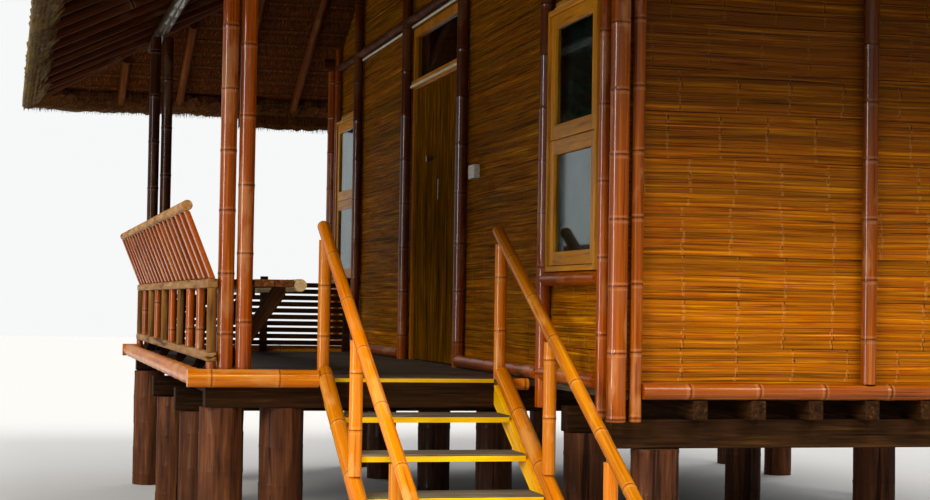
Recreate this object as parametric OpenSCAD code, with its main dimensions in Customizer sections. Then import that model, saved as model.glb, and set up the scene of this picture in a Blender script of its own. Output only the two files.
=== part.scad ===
/* [Bays] */
// Top of the floor above the ground
floor_height = 1110; // [900:10:1300]
// Corner post to the next post along the front, a window bay
window_bay = 1250; // [1230:10:1400]
// Plain panel bay between a window bay and the door bay
panel_bay = 1940; // [1800:10:2100]
// Bay of the double door, post to post
door_bay = 1730; // [1650:10:1900]
// One bay of the end walls, post to post
side_bay = 1390; // [1300:10:1500]
// Number of bays in an end wall
side_bays = 3; // [3:1:3]

/* [Walls] */
// Thickness of the woven bamboo board walls
wall_t = 60; // [50:5:80]
// Corner post diameter
corner_d = 104; // [95:1:106]
// Diameter of the two slimmer posts that flank each corner post
flank_d = 66; // [55:1:75]
// Space between a corner post and its flanking post, on the end walls and the back wall
flank_gap = 18; // [10:1:30]
// The same space on the front wall
front_flank_gap = 158; // [140:1:170]
// Diameter of the posts along the walls
wall_post_d = 84; // [70:1:90]
// Base rail diameter on the front and back walls
front_rail_d = 88; // [60:1:90]
// Base rail diameter on the end walls
side_rail_d = 86; // [70:1:90]
// How far the outer posts reach below the floor top
post_drop = 150; // [120:5:200]
// Space between the light over the door and the middle rail of the front wall
mid_rail_gap = 35; // [25:5:40]
// Middle rail diameter
mid_rail_d = 70; // [50:1:80]
// Diameter of the plates that carry the rafters
plate_d = 110; // [90:1:130]

/* [Windows and door] */
// Window frame width
window_w = 870; // [700:10:870]
// Window frame height
window_h = 1480; // [1300:10:1490]
// Bottom of the window frame above the floor
window_z = 620; // [600:5:660]
// Face width of the window frame members
window_face = 110; // [80:1:120]
// How far the window frames stand out from the walls
window_proud = 60; // [40:1:70]
// Height of the middle cross member of a window
window_mid_h = 170; // [120:1:180]
// Glass thickness
glass_t = 6; // [4:1:8]
// Sill log diameter
sill_d = 80; // [70:1:100]
// Clear height of the doorway
door_h = 2070; // [1950:10:2100]
// Door frame jamb width
jamb_w = 60; // [50:1:70]
// Thickness of a door leaf
leaf_t = 40; // [30:1:45]
// Gap around the door leaves
leaf_gap = 6; // [6:0.5:8]
// Gap between the two leaves
meeting_gap = 8; // [8:0.5:12]
// Height of the glazed light over the door, frame included
transom_h = 400; // [300:10:410]

/* [Veranda] */
// Veranda post line in front of the front wall
veranda_depth = 1740; // [1700:10:1850]
// How far each end of the veranda stops short of the nearest wall post
veranda_inset = 160; // [140:5:200]
// Veranda post diameter
veranda_post_d = 96; // [80:1:100]
// Spacing of the two posts of a pair
pair_pitch = 104; // [102:1:120]
// Baluster diameter
baluster_d = 56; // [40:1:60]
// Number of balusters in the side railing
baluster_count = 8; // [6:1:12]
// Railing rail thickness
railing_rail_w = 60; // [50:1:70]
// Height of the lower railing rail, at its middle
low_rail_z = 115; // [100:5:150]
// Top of the bench seat above the floor
seat_z = 550; // [450:5:600]
// Bench seat depth, from the railing to the front log
seat_depth = 455; // [400:5:500]
// Seat board thickness
seat_t = 40; // [25:1:50]
// Bench front log diameter
seat_log_d = 76; // [60:1:90]
// Length of the leaning backrest slats
backrest_len = 400; // [300:10:500]
// Lean of the backrest from upright, in degrees
backrest_lean = 22; // [10:1:30]
// Height of the slatted railing at the far end
end_railing_h = 640; // [500:10:900]

/* [Floor frame] */
// Floor board thickness
floor_t = 40; // [30:1:50]
// Joist width
joist_w = 80; // [60:1:100]
// Joist depth
joist_h = 100; // [80:1:120]
// Joist spacing
joist_pitch = 320; // [280:5:340]
// Front wall line to the first joist of the house
joist_first = 445; // [350:5:460]
// Beam width
beam_w = 120; // [100:1:150]
// Beam depth
beam_h = 150; // [120:1:180]
// Depth of the header beams at the ends of the veranda
header_h = 125; // [120:1:150]
// Pier diameter
pier_d = 260; // [200:5:270]
// Spacing of the twin piers under the ends of the veranda
pier_pair_pitch = 340; // [300:10:360]
// Diameter of the bamboo trim along the veranda edge
trim_d = 106; // [90:1:110]

/* [Stair] */
// Number of rises from the ground to the floor
rises = 6; // [6:1:6]
// Going of each step
going = 335; // [300:5:340]
// Clear width between the stringers
stair_w = 950; // [900:10:980]
// Distance from the front wall line to the right stringer
stair_offset = 245; // [235:5:300]
// Tread thickness
tread_t = 40; // [30:1:50]
// Tread depth, front to back
tread_depth = 270; // [220:5:280]
// Stringer plank thickness
stringer_t = 40; // [30:1:50]
// Stringer plank depth, square to the slope
stringer_h = 100; // [90:5:140]
// Top edge of the stringers below the line of the nosings
string_drop = 32; // [10:1:40]
// Diameter of the bamboos that lie on the stringers
side_bamboo_d = 84; // [70:1:90]
// Newel diameter
newel_d = 74; // [60:1:80]
// Handrail diameter
handrail_d = 72; // [60:1:80]
// Handrail axis above the line of the nosings
handrail_rise = 800; // [650:10:850]
// How far the handrails run on past the lower newels
handrail_end = 440; // [300:10:440]
// Spacing of the newels in plan
newel_pitch = 980; // [900:10:990]

/* [Roof] */
// Eave in front of the veranda post line
front_overhang = 1130; // [1050:10:1150]
// Eave behind the back wall and beyond each end wall
overhang = 1000; // [950:10:1100]
// Underside of the thatch at the eaves, above the floor
eave_height = 2310; // [2250:10:2400]
// Pitch of all four slopes in degrees
pitch = 25.5; // [25:0.5:27]
// Thatch thickness, square to the slope
thatch_t = 190; // [150:5:220]
// Rafter diameter
rafter_d = 80; // [60:1:90]
// Rafter spacing
rafter_pitch = 560; // [500:10:620]
// Half width of the thatch cap over the ridge
cap_half = 420; // [300:10:500]
// Thickness of the ridge cap
cap_t = 90; // [60:5:120]

/* [Small parts] */
// Switch box width along the wall
switch_w = 150; // [120:5:160]
// Switch box height
switch_h = 90; // [70:5:120]
// Switch box depth
switch_d = 40; // [30:1:60]
// Conduit diameter
conduit_d = 20; // [16:1:25]
// Thickness of the pale strips over the windows and the door
strip_t = 22; // [15:1:30]
// Height of those strips
strip_h = 55; // [40:1:60]
// Hinge pin diameter
pin_d = 8; // [6:0.5:10]
// Hinge knuckle diameter
knuckle_d = 14; // [13:0.5:16]
// Length of one hinge knuckle
knuckle_len = 34; // [28:1:40]

/* [Hidden] */
$fn = 48;

// Clearance between round pieces that touch
fit = 0.3;
// The corners of the walls stand against the corner posts
wall_inset = corner_d / 2 * sqrt(0.5) + fit;

// Plan: X runs from the veranda to the back wall, Y along the house, near end negative
house_len = 2 * (window_bay + panel_bay) + door_bay;
house_depth = side_bays * side_bay;
len_x = front_overhang + veranda_depth + house_depth + overhang;
len_y = house_len + 2 * overhang;
x_eave = -len_x / 2;
x_veranda = x_eave + front_overhang;
x_front = x_veranda + veranda_depth;
x_back = x_front + house_depth;
y_end = house_len / 2;
y_door = door_bay / 2;
y_bay = y_door + panel_bay;
y_ver = y_bay - veranda_inset;
ridge_half = (len_y - len_x) / 2;

// Wall faces
wall_x0 = x_front + wall_inset;
wall_x1 = x_back - wall_inset;
wall_y1 = y_end - wall_inset;
wall_mid = wall_inset + wall_t / 2;

// Flanking posts: their distance from the corner post's axis, and the end of the rails beside them
flank_off = corner_d / 2 + flank_gap + flank_d / 2;
front_flank_off = corner_d / 2 + front_flank_gap + flank_d / 2;
flank_in = flank_off + flank_d / 2 + fit;
front_flank_in = front_flank_off + flank_d / 2 + fit;
half_post = wall_post_d / 2 + fit;

// Levels
z_floor = floor_height;
z_joist = z_floor - floor_t;
z_beam = z_joist - joist_h;
z_pier = z_beam - beam_h;
side_rail_z = z_joist + side_rail_d / 2 + fit;

// Roof: height of the thatch underside at a distance inside the eave
function roof_z(inside) = z_floor + eave_height + inside * tan(pitch);
function under_rafters(inside) = roof_z(inside) - (rafter_d + 2 * fit) / cos(pitch);
function plate_z(inside) = roof_z(inside) - (rafter_d + plate_d / 2 + 2 * fit) / cos(pitch);
thatch_v = thatch_t / cos(pitch);
hip_d = rafter_d;
wall_plate_z = plate_z(overhang + wall_mid);
front_plate_z = plate_z(front_overhang + veranda_depth + wall_mid);
veranda_plate_z = plate_z(front_overhang);
plate_hip_room = 260;

// Windows stand midway between a wall post and the flanking post
window_room = window_bay - half_post - front_flank_in;
window_y = y_bay + half_post + window_room / 2;
window_top = window_z + window_h;
window_depth = wall_t + window_proud;

// Door
frame_out = door_bay - 2 * (wall_post_d / 2 + fit);
door_head_h = 70;
leaf_w = (frame_out - 2 * jamb_w - 2 * leaf_gap - meeting_gap) / 2;
leaf_edge = frame_out / 2 - jamb_w - leaf_gap;
door_face_x = wall_x0 + wall_t;
sill_gap = 8;
leaf_h = door_h - leaf_gap - sill_gap;
transom_z = door_h + door_head_h;
panel_over_z = transom_z + transom_h;
mid_rail_z = panel_over_z + mid_rail_gap;

// Hinges: pin in front of the inner face, in the middle of the gap
pin_out = 9;
pin_x = door_face_x + pin_out;
pin_y = leaf_edge + leaf_gap / 2;
hinge_plate_t = 3;
hinge_plate_w = 36;
hinge_end = 200;
hinge_levels = [hinge_end, (door_h - knuckle_len) / 2, door_h - hinge_end - knuckle_len];
knuckle_gap = 0.6;
pin_play = 0.3;
short_trim_d = 70;
short_trim_drop = 25;

// Knob through the far leaf and the lock plate on its meeting edge
knob_z = 1500;
knob_d = 46;
knob_stem = 24;
knob_stem_d = 20;
knob_in = 220;
lock_w = 26;
lock_h = 150;
lock_z = 1190;
lock_in = 13;

// Switch box, before the door post nearer the stair
switch_off = 270;
switch_z = 1310;

// Veranda railing
post_out_x = x_veranda - pair_pitch / 2 - veranda_post_d / 2;
railing_x = post_out_x - fit - railing_rail_w / 2;
veranda_edge = railing_x - railing_rail_w / 2;
low_rail_h = 52;
top_rail_h = 52;
seat_log_up = 8;
seat_log_in = 2;
strut_w = 50;
strut_foot = 70;
strut_count = 5;
slat_t = 30;
slat_w = 70;
slat_count = 20;
end_slat_t = 25;
end_slat_h = 40;
end_slat_pitch = 55;
end_post = 60;
lean_x = sin(backrest_lean) * backrest_len;
lean_z = cos(backrest_lean) * backrest_len;

// Stair
rise = floor_height / rises;
stair_pitch = atan(rise / going);
stair_x1 = x_front - stair_offset;
stair_x0 = stair_x1 - stair_w;
stair_y = -y_ver - fit;
stair_line = side_bamboo_d / 2 + fit;
stair_foot_y = stair_y - floor_height / tan(stair_pitch);
side_lift = (side_bamboo_d / 2 + fit) / cos(stair_pitch);
side_rise = side_lift - string_drop;
upper_newel_y = -y_ver + newel_d / 2 + fit;
mid_newel_y = upper_newel_y - newel_pitch;
lower_newel_y = mid_newel_y - newel_pitch;

module bamboo_z(d, x, y, z0, z1) {
  translate([x, y, z0]) cylinder(d = d, h = z1 - z0);
}

module bamboo_y(d, x, z, y0, y1) {
  translate([x, y0, z]) rotate([-90, 0, 0]) cylinder(d = d, h = y1 - y0);
}

module bamboo_x(d, y, z, x0, x1) {
  translate([x0, y, z]) rotate([0, 90, 0]) cylinder(d = d, h = x1 - x0);
}

module box(low, high) {
  translate(low) cube(high - low);
}

module both_ends() {
  children();
  mirror([0, 1, 0]) children();
}

// Piers and floor frame
module pier_row(x) {
  for (y = [y_door, y_bay, y_end - pier_d / 2]) {
    both_ends() bamboo_z(pier_d, x, y, 0, z_pier - fit);
  }
}

module veranda_piers() {
  color("saddlebrown") {
    both_ends() {
      for (x = [x_veranda - pair_pitch / 2, x_veranda - pair_pitch / 2 + pier_pair_pitch]) {
        bamboo_z(pier_d, x, y_ver - pier_d / 2, 0, z_joist - header_h - fit);
      }
      bamboo_z(pier_d, x_veranda, y_door, 0, z_pier - fit);
    }
  }
}

module front_piers() {
  color("saddlebrown") pier_row(x_front + pier_d);
}

module middle_piers() {
  color("saddlebrown") pier_row((x_front + x_back) / 2);
}

module back_piers() {
  color("saddlebrown") pier_row(x_back - pier_d / 2);
}

module floor_beams() {
  color("#5a3222") {
    both_ends() {
      box([veranda_edge, y_door - beam_w / 2, z_pier], [x_back, y_door + beam_w / 2, z_beam]);
      box([x_front + pier_d / 2, y_bay - beam_w / 2, z_pier], [x_back, y_bay + beam_w / 2, z_beam]);
      box([x_front, y_end - pier_d / 2 - beam_w / 2, z_pier],
          [x_back, y_end - pier_d / 2 + beam_w / 2, z_beam]);
      box([veranda_edge, y_ver - beam_w, z_joist - header_h], [x_front + wall_inset - fit, y_ver, z_joist]);
    }
  }
}

module house_joists() {
  reach = y_end + side_rail_d / 2 - wall_inset + side_rail_d / 4;
  color("#6b4028") {
    for (x = [x_front + joist_first : joist_pitch : wall_x1 - flank_d - joist_w]) {
      box([x - joist_w / 2, -reach, z_beam], [x + joist_w / 2, reach, z_joist]);
    }
  }
}

module veranda_joists() {
  reach = y_ver - beam_w;
  color("#6b4028") {
    for (x = [x_veranda : joist_pitch : wall_x0 - joist_w]) {
      box([x - joist_w / 2, -reach, z_beam], [x + joist_w / 2, reach, z_joist]);
    }
  }
}

module house_floor() {
  color("#4a4038") box([wall_x0, -wall_y1, z_joist], [wall_x1, wall_y1, z_floor]);
}

module veranda_floor() {
  color("#4b4b4a") box([veranda_edge, -y_ver, z_joist], [wall_x0 - fit, y_ver, z_floor]);
}

// Bamboo trim along the three open edges of the veranda floor, left open at the stair.
// The short piece between the stair and the house is thinner and lies lower
module floor_edges() {
  x_out = veranda_edge - trim_d / 2 - fit;
  x_wall = wall_x0 - max(front_rail_d, wall_post_d) - 2 * fit;
  y_out = y_ver + trim_d / 2 + fit;
  color("darkorange") {
    bamboo_x(trim_d, -y_out, z_floor, x_out - trim_d / 2, stair_x0 - stair_line - side_bamboo_d / 2 - fit);
    bamboo_x(short_trim_d, -y_ver - short_trim_d / 2 - fit, z_floor - short_trim_drop,
             stair_x1 + stair_line + side_bamboo_d / 2 + fit, x_wall);
    bamboo_x(trim_d, y_out, z_floor, x_out - trim_d / 2, x_wall);
    bamboo_y(trim_d, x_out, z_floor, -y_ver, y_ver);
  }
}

// Posts
module corner_posts() {
  top = wall_plate_z - plate_d / 2 - fit;
  color("#9a4a1a") {
    both_ends() {
      bamboo_z(corner_d, x_front, y_end, z_floor - post_drop, top);
      bamboo_z(corner_d, x_back, y_end, z_floor - post_drop, top);
    }
  }
}

module flank_posts() {
  face = wall_inset - flank_d / 2 - fit;
  top = wall_plate_z - plate_d / 2 - fit;
  front_top = front_wall_top(y_end - front_flank_off + flank_d / 2) - fit;
  color("#a8541f") {
    both_ends() {
      bamboo_z(flank_d, x_front + face, y_end - front_flank_off, z_floor - post_drop, front_top);
      bamboo_z(flank_d, x_front + flank_off, y_end - face, z_floor - post_drop, top);
      bamboo_z(flank_d, x_back - face, y_end - flank_off, z_beam + fit, top);
      bamboo_z(flank_d, x_back - flank_off, y_end - face, z_floor - post_drop, top);
    }
  }
}

module wall_posts() {
  face = wall_inset - wall_post_d / 2 - fit;
  foot = side_rail_z + side_rail_d / 2 + fit;
  top = wall_plate_z - plate_d / 2 - fit;
  color("#8c4217") {
    both_ends() {
      bamboo_z(wall_post_d, x_front + face, y_bay, z_floor - post_drop, front_wall_top(y_bay) - fit);
      bamboo_z(wall_post_d, x_front + face, y_door, z_floor + fit, front_plate_z - plate_d / 2 - fit);
      bamboo_z(wall_post_d, x_back - face, y_bay, z_beam + fit, top);
      bamboo_z(wall_post_d, x_back - face, y_door, z_beam + fit, top);
      for (bay = [1 : side_bays - 1]) {
        bamboo_z(wall_post_d, x_front + bay * side_bay, y_end - face, foot, top);
      }
    }
  }
}

// Rails laid against the foot of each wall, cut between the posts
module base_rails() {
  front_c = wall_x0 - front_rail_d / 2 - fit;
  back_c = wall_x1 + front_rail_d / 2 + fit;
  side_c = wall_y1 + side_rail_d / 2 + fit;
  z = z_floor + front_rail_d / 2 + fit;
  color("#9c4a1c") {
    both_ends() {
      bamboo_y(front_rail_d, front_c, z, y_door + half_post, y_bay - half_post);
      bamboo_y(front_rail_d, front_c, z, y_bay + half_post, y_end - front_flank_in);
      bamboo_y(front_rail_d, back_c, z, y_door + half_post, y_bay - half_post);
      bamboo_y(front_rail_d, back_c, z, y_bay + half_post, y_end - flank_in);
      bamboo_x(side_rail_d, side_c, side_rail_z, x_front + flank_in, x_back - flank_in);
    }
    bamboo_y(front_rail_d, back_c, z, -y_door + half_post, y_door - half_post);
  }
}

// Walls. The top of the front wall follows the hip slope, then the front slope
function front_wall_top(y) =
  min(under_rafters(len_y / 2 - y), front_plate_z - plate_d / 2 - fit);
y_level = len_y / 2 - (front_plate_z - plate_d / 2 - fit + (rafter_d + 2 * fit) / cos(pitch)
          - z_floor - eave_height) / tan(pitch);

module front_wall_slice(y0, y1, z0) {
  rise_y = min(max(y_level, y0), y1);
  translate([wall_x0, 0, 0]) rotate([90, 0, 90]) linear_extrude(wall_t)
    polygon([
      [y0, z0], [y1, z0], [y1, front_wall_top(y1)],
      [rise_y, front_wall_top(rise_y)], [y0, front_wall_top(y0)]
    ]);
}

module window_hole() {
  side = window_w / 2 + fit;
  box([-len_x, window_y - side, z_floor + window_z - fit],
      [len_x, window_y + side, z_floor + window_top + fit]);
}

module window_wall() {
  difference() {
    front_wall_slice(y_bay, wall_y1 - wall_t, z_floor);
    window_hole();
    bamboo_y(plate_d + 4 * fit, wall_x0 + wall_t / 2, wall_plate_z, y_end - wall_mid - plate_d, y_end);
    bamboo_x(plate_d + 4 * fit, y_end - wall_mid, wall_plate_z, x_veranda, x_back);
  }
}

module front_window_walls() {
  color("#b8722a") both_ends() window_wall();
}

module front_panels() {
  color("#b06a26") both_ends() front_wall_slice(y_door, y_bay, z_floor);
}

module front_over_door() {
  top = front_plate_z - plate_d / 2 - fit;
  color("#b06a26") box([wall_x0, -y_door, z_floor + panel_over_z + fit], [door_face_x, y_door, top]);
}

module side_wall() {
  top = wall_plate_z - plate_d / 2 - fit;
  color("#c07a2e") box([wall_x0, wall_y1 - wall_t, z_floor], [wall_x1 - wall_t, wall_y1, top]);
}

module near_side_wall() {
  mirror([0, 1, 0]) side_wall();
}

module far_side_wall() {
  side_wall();
}

module back_wall() {
  top = wall_plate_z - plate_d / 2 - fit;
  color("#b06a26") difference() {
    box([wall_x1 - wall_t, -wall_y1, z_floor], [wall_x1, wall_y1, top]);
    both_ends() window_hole();
  }
}

// Rail along the front wall, over the light of the door
module wall_rails() {
  front_c = wall_x0 - mid_rail_d / 2 - fit;
  z = z_floor + mid_rail_z + mid_rail_d / 2;
  color("#7a3a16") {
    both_ends() {
      bamboo_y(mid_rail_d, front_c, z, y_door + half_post, y_bay - half_post);
      bamboo_y(mid_rail_d, front_c, z, y_bay + half_post, y_end - front_flank_in);
    }
    bamboo_y(mid_rail_d, front_c, z, -y_door + half_post, y_door - half_post);
  }
}

module wall_plates() {
  x_mid = wall_x0 + wall_t / 2;
  reach = ridge_half - x_mid - plate_hip_room;
  color("#8a4518") {
    both_ends() bamboo_x(plate_d, y_end - wall_mid, wall_plate_z, x_front - plate_d, x_back - wall_mid);
    bamboo_y(plate_d, x_back - wall_mid, wall_plate_z, -y_end, y_end);
    bamboo_y(plate_d, x_mid, front_plate_z, -reach, reach);
  }
}

// Windows
module window_frame(x_in) {
  y0 = window_y - window_w / 2;
  y1 = window_y + window_w / 2;
  z0 = z_floor + window_z;
  z1 = z_floor + window_top;
  mid = (z0 + z1) / 2;
  difference() {
    box([x_in, y0, z0], [x_in + window_depth, y1, z1]);
    box([x_in - 1, y0 + window_face, z0 + window_face],
        [x_in + window_depth + 1, y1 - window_face, mid - window_mid_h / 2]);
    box([x_in - 1, y0 + window_face, mid + window_mid_h / 2],
        [x_in + window_depth + 1, y1 - window_face, z1 - window_face]);
  }
}

module window_frames() {
  color("#d9a54a") both_ends() {
    window_frame(wall_x0 - window_proud);
    window_frame(wall_x1 - wall_t);
  }
}

module pane(x_mid, y0, y1, z0, z1) {
  box([x_mid - glass_t / 2, y0 + fit, z0 + fit], [x_mid + glass_t / 2, y1 - fit, z1 - fit]);
}

module window_panes(x_mid) {
  y0 = window_y - window_w / 2 + window_face;
  y1 = window_y + window_w / 2 - window_face;
  z0 = z_floor + window_z;
  z1 = z_floor + window_top;
  mid = (z0 + z1) / 2;
  pane(x_mid, y0, y1, z0 + window_face, mid - window_mid_h / 2);
  pane(x_mid, y0, y1, mid + window_mid_h / 2, z1 - window_face);
}

module glass_panes() {
  inner = frame_out / 2 - jamb_w;
  color("#6f8a90") {
    both_ends() {
      window_panes(wall_x0 + wall_t / 2);
      window_panes(wall_x1 - wall_t / 2);
    }
    pane(wall_x0 + wall_t / 2, -inner, inner, z_floor + transom_z, z_floor + panel_over_z - jamb_w);
  }
}

module window_sills() {
  z = z_floor + window_z - sill_d / 2 - 2 * fit;
  half = window_room / 2;
  color("#8c4217") both_ends() {
    bamboo_y(sill_d, wall_x0 - sill_d / 2 - fit, z, window_y - half, window_y + half);
    bamboo_y(sill_d, wall_x1 + sill_d / 2 + fit, z, window_y - half, window_y + half);
  }
}

module head_strips() {
  half = window_w / 2;
  z = z_floor + window_top + fit;
  door_z = z_floor + transom_z - strip_h;
  color("#e8d9b0") {
    both_ends() {
      box([wall_x0 - strip_t - fit, window_y - half, z], [wall_x0 - fit, window_y + half, z + strip_h]);
      box([wall_x1 + fit, window_y - half, z], [wall_x1 + fit + strip_t, window_y + half, z + strip_h]);
    }
    box([wall_x0 - strip_t - fit, -frame_out / 2 + fit, door_z],
        [wall_x0 - fit, frame_out / 2 - fit, door_z + strip_h]);
  }
}

// Door
module door_frame() {
  out = frame_out / 2;
  inner = out - jamb_w;
  color("#c98b3a") difference() {
    box([wall_x0, -out, z_floor], [door_face_x, out, z_floor + panel_over_z]);
    box([wall_x0 - 1, -inner, z_floor - 1], [door_face_x + 1, inner, z_floor + door_h]);
    box([wall_x0 - 1, -inner, z_floor + transom_z],
        [door_face_x + 1, inner, z_floor + panel_over_z - jamb_w]);
  }
}

module leaf() {
  color("#d6a04c") box([door_face_x - leaf_t, meeting_gap / 2, z_floor + sill_gap],
                       [door_face_x, leaf_edge, z_floor + sill_gap + leaf_h]);
}

module left_door_leaf() {
  leaf();
}

module right_door_leaf() {
  mirror([0, 1, 0]) leaf();
}

module knuckle(z) {
  difference() {
    translate([pin_x, pin_y, z]) cylinder(d = knuckle_d, h = knuckle_len);
    translate([pin_x, pin_y, z - 1]) cylinder(d = pin_d + 2 * pin_play, h = knuckle_len + 2);
  }
}

module leaf_hinge(z) {
  knuckle(z);
  difference() {
    box([door_face_x, leaf_edge - hinge_plate_w, z],
        [door_face_x + hinge_plate_t, pin_y - pin_d / 2 - 1, z + knuckle_len]);
    translate([pin_x, pin_y, z - 1]) cylinder(d = pin_d + 2 * pin_play, h = knuckle_len + 2);
  }
}

module knob(side) {
  face = side < 0 ? door_face_x - leaf_t : door_face_x;
  translate([face, meeting_gap / 2 + knob_in, z_floor + knob_z]) rotate([0, side * 90, 0]) {
    cylinder(d = knob_stem_d, h = knob_stem);
    translate([0, 0, knob_stem]) cylinder(d = knob_d, h = knob_d / 2);
  }
}

module leaf_hinges() {
  for (level = hinge_levels) {
    leaf_hinge(z_floor + level);
  }
}

module left_leaf_fittings() {
  color("#6b5a3a") {
    leaf_hinges();
    knob(-1);
    knob(1);
    box([door_face_x - leaf_t - hinge_plate_t, meeting_gap / 2 + lock_in, z_floor + lock_z],
        [door_face_x - leaf_t, meeting_gap / 2 + lock_in + lock_w, z_floor + lock_z + lock_h]);
  }
}

module right_leaf_fittings() {
  color("#6b5a3a") mirror([0, 1, 0]) leaf_hinges();
}

// Pins with the knuckles above and below, screwed to the jambs
module jamb_hinge(level) {
  z = z_floor + level;
  low = z - knuckle_gap - knuckle_len;
  high = z + knuckle_len + knuckle_gap;
  jamb_y = leaf_edge + leaf_gap;
  translate([pin_x, pin_y, low]) cylinder(d = pin_d, h = high + knuckle_len - low);
  for (start = [low, high]) {
    translate([pin_x, pin_y, start]) cylinder(d = knuckle_d, h = knuckle_len);
    box([door_face_x, jamb_y - leaf_gap / 2, start],
        [door_face_x + hinge_plate_t, jamb_y + hinge_plate_w, start + knuckle_len]);
  }
}

module hinge_pins() {
  color("#6b5a3a") both_ends() {
    for (level = hinge_levels) {
      jamb_hinge(level);
    }
  }
}

// Switch box and conduit on the front wall
module switch_box() {
  switch_y = -y_door - switch_off;
  color("#d8d4c0") box([wall_x0 - switch_d, switch_y - switch_w / 2, z_floor + switch_z - switch_h / 2],
                       [wall_x0, switch_y + switch_w / 2, z_floor + switch_z + switch_h / 2]);
}

module conduit() {
  z = z_floor + mid_rail_z - conduit_d / 2 - fit;
  x = wall_x0 - conduit_d / 2 - fit;
  color("#ded8c4") {
    bamboo_y(conduit_d, x, z, y_door + half_post, y_bay - half_post);
    bamboo_y(conduit_d, x, z, -y_bay + half_post, -y_door - half_post);
    bamboo_y(conduit_d, x, z, -y_door + half_post, y_door - half_post);
  }
}

// Veranda
module veranda_posts() {
  color("#8a3f16") both_ends() {
    for (side = [-1, 1]) {
      bamboo_z(veranda_post_d, x_veranda + side * pair_pitch / 2, y_ver - veranda_post_d / 2,
               z_floor, veranda_plate_z - plate_d / 2 - fit);
    }
  }
}

module veranda_plate() {
  reach = ridge_half - x_veranda - plate_hip_room;
  color("#8a4518") bamboo_y(plate_d, x_veranda, veranda_plate_z, -reach, reach);
}

module bench_seat() {
  color("#8b6b45") {
    difference() {
      box([railing_x + railing_rail_w / 2 + fit, -y_ver + fit, z_floor + seat_z - seat_t],
          [railing_x + seat_depth, y_ver - fit, z_floor + seat_z]);
      both_ends() {
        for (side = [-1, 1]) {
          bamboo_z(veranda_post_d + 4 * fit, x_veranda + side * pair_pitch / 2, y_ver - veranda_post_d / 2,
                   z_floor, z_floor + 2 * seat_z);
        }
        box([railing_x, y_ver - veranda_post_d - 2 * fit, z_floor],
            [x_veranda + pair_pitch / 2 + veranda_post_d / 2 + 2 * fit, y_bay, z_floor + 2 * seat_z]);
      }
    }
    bamboo_y(seat_log_d, railing_x + seat_depth + seat_log_d / 2 - seat_log_in,
             z_floor + seat_z - seat_log_d / 2 + seat_log_up, -y_ver + fit, y_ver - fit);
  }
}

// Slanting struts from the floor at the railing to the front of the seat
module bench_brackets() {
  span = seat_depth - railing_rail_w;
  drop = seat_z - seat_t;
  foot_x = railing_x + railing_rail_w / 2 + fit;
  pitch_y = (2 * y_ver - 2 * veranda_post_d - 2 * strut_w) / (strut_count - 1);
  color("#6b4028") {
    for (i = [0 : strut_count - 1]) {
      y = -y_ver + veranda_post_d + strut_w + i * pitch_y;
      translate([0, y + strut_w / 2, z_floor]) rotate([90, 0, 0]) linear_extrude(strut_w)
        polygon([
          [foot_x, 0], [foot_x + strut_foot, 0], [foot_x + span, drop - strut_w - fit],
          [foot_x + span, drop - fit], [foot_x + span - strut_foot, drop - fit]
        ]);
    }
  }
}

module railing_rails() {
  half = railing_rail_w / 2;
  color("#9a7448") {
    box([railing_x - half, -y_ver, z_floor + low_rail_z - low_rail_h / 2],
        [railing_x + half, y_ver, z_floor + low_rail_z + low_rail_h / 2]);
    box([railing_x - half, -y_ver, z_floor + seat_z - top_rail_h],
        [railing_x + half, y_ver, z_floor + seat_z]);
    bamboo_y(railing_rail_w, railing_x - lean_x, z_floor + seat_z + lean_z + railing_rail_w / 2 + 2 * fit,
             -y_ver, y_ver);
  }
}

module balusters() {
  gap = 2 * y_ver / (baluster_count + 1);
  low = z_floor + low_rail_z + low_rail_h / 2 + fit;
  high = z_floor + seat_z - top_rail_h - fit;
  color("#8a5a2a") {
    for (i = [1 : baluster_count]) {
      bamboo_z(baluster_d, railing_x, -y_ver + i * gap, low, high);
    }
    for (y = [-y_ver + baluster_d / 2, y_ver - baluster_d / 2]) {
      bamboo_z(baluster_d, railing_x, y, z_floor, z_floor + low_rail_z - low_rail_h / 2 - fit);
      bamboo_z(baluster_d, railing_x, y, low, high);
    }
  }
}

module backrest_slats() {
  gap = (2 * y_ver - slat_w) / (slat_count - 1);
  z = z_floor + seat_z + fit;
  color("#9a5a26") {
    for (i = [0 : slat_count - 1]) {
      translate([railing_x, -y_ver + slat_w + i * gap, z]) rotate([90, 0, 0]) linear_extrude(slat_w)
        polygon([
          [-slat_t / 2, 0], [slat_t / 2, 0],
          [slat_t / 2 - lean_x, lean_z], [-slat_t / 2 - lean_x, lean_z]
        ]);
    }
  }
}

module end_railing() {
  x0 = x_veranda + pair_pitch / 2 + veranda_post_d / 2 + fit;
  x1 = x_front - wall_post_d;
  y1 = y_ver - fit;
  count = floor((end_railing_h - end_slat_h) / end_slat_pitch);
  color("#7a5230") difference() {
    union() {
      for (i = [1 : count]) {
        z = z_floor + i * end_slat_pitch;
        box([x0, y1 - end_slat_t, z], [x1, y1, z + end_slat_h]);
      }
      for (x = [x0, (x0 + x1) / 2, x1 - end_post]) {
        box([x, y1 - end_post, z_floor], [x + end_post, y1, z_floor + end_railing_h]);
      }
    }
    box([railing_x, -y_bay, z_floor + seat_z - seat_log_d],
        [railing_x + seat_depth + seat_log_d + fit, y_bay, z_floor + seat_z + seat_log_up + fit]);
  }
}

// Stair. The line of the nosings runs from the floor edge down to the ground
module stair_slope_plank(x0, x1, below, depth) {
  top_z = z_floor - below;
  run = floor_height / tan(stair_pitch);
  v = depth / cos(stair_pitch);
  translate([x0, 0, 0]) rotate([90, 0, 90]) linear_extrude(x1 - x0)
    polygon([
      [stair_y, top_z], [stair_y, top_z - v],
      [stair_y - (top_z - v) / tan(stair_pitch), 0], [stair_y - top_z / tan(stair_pitch), 0]
    ]);
}

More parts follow.
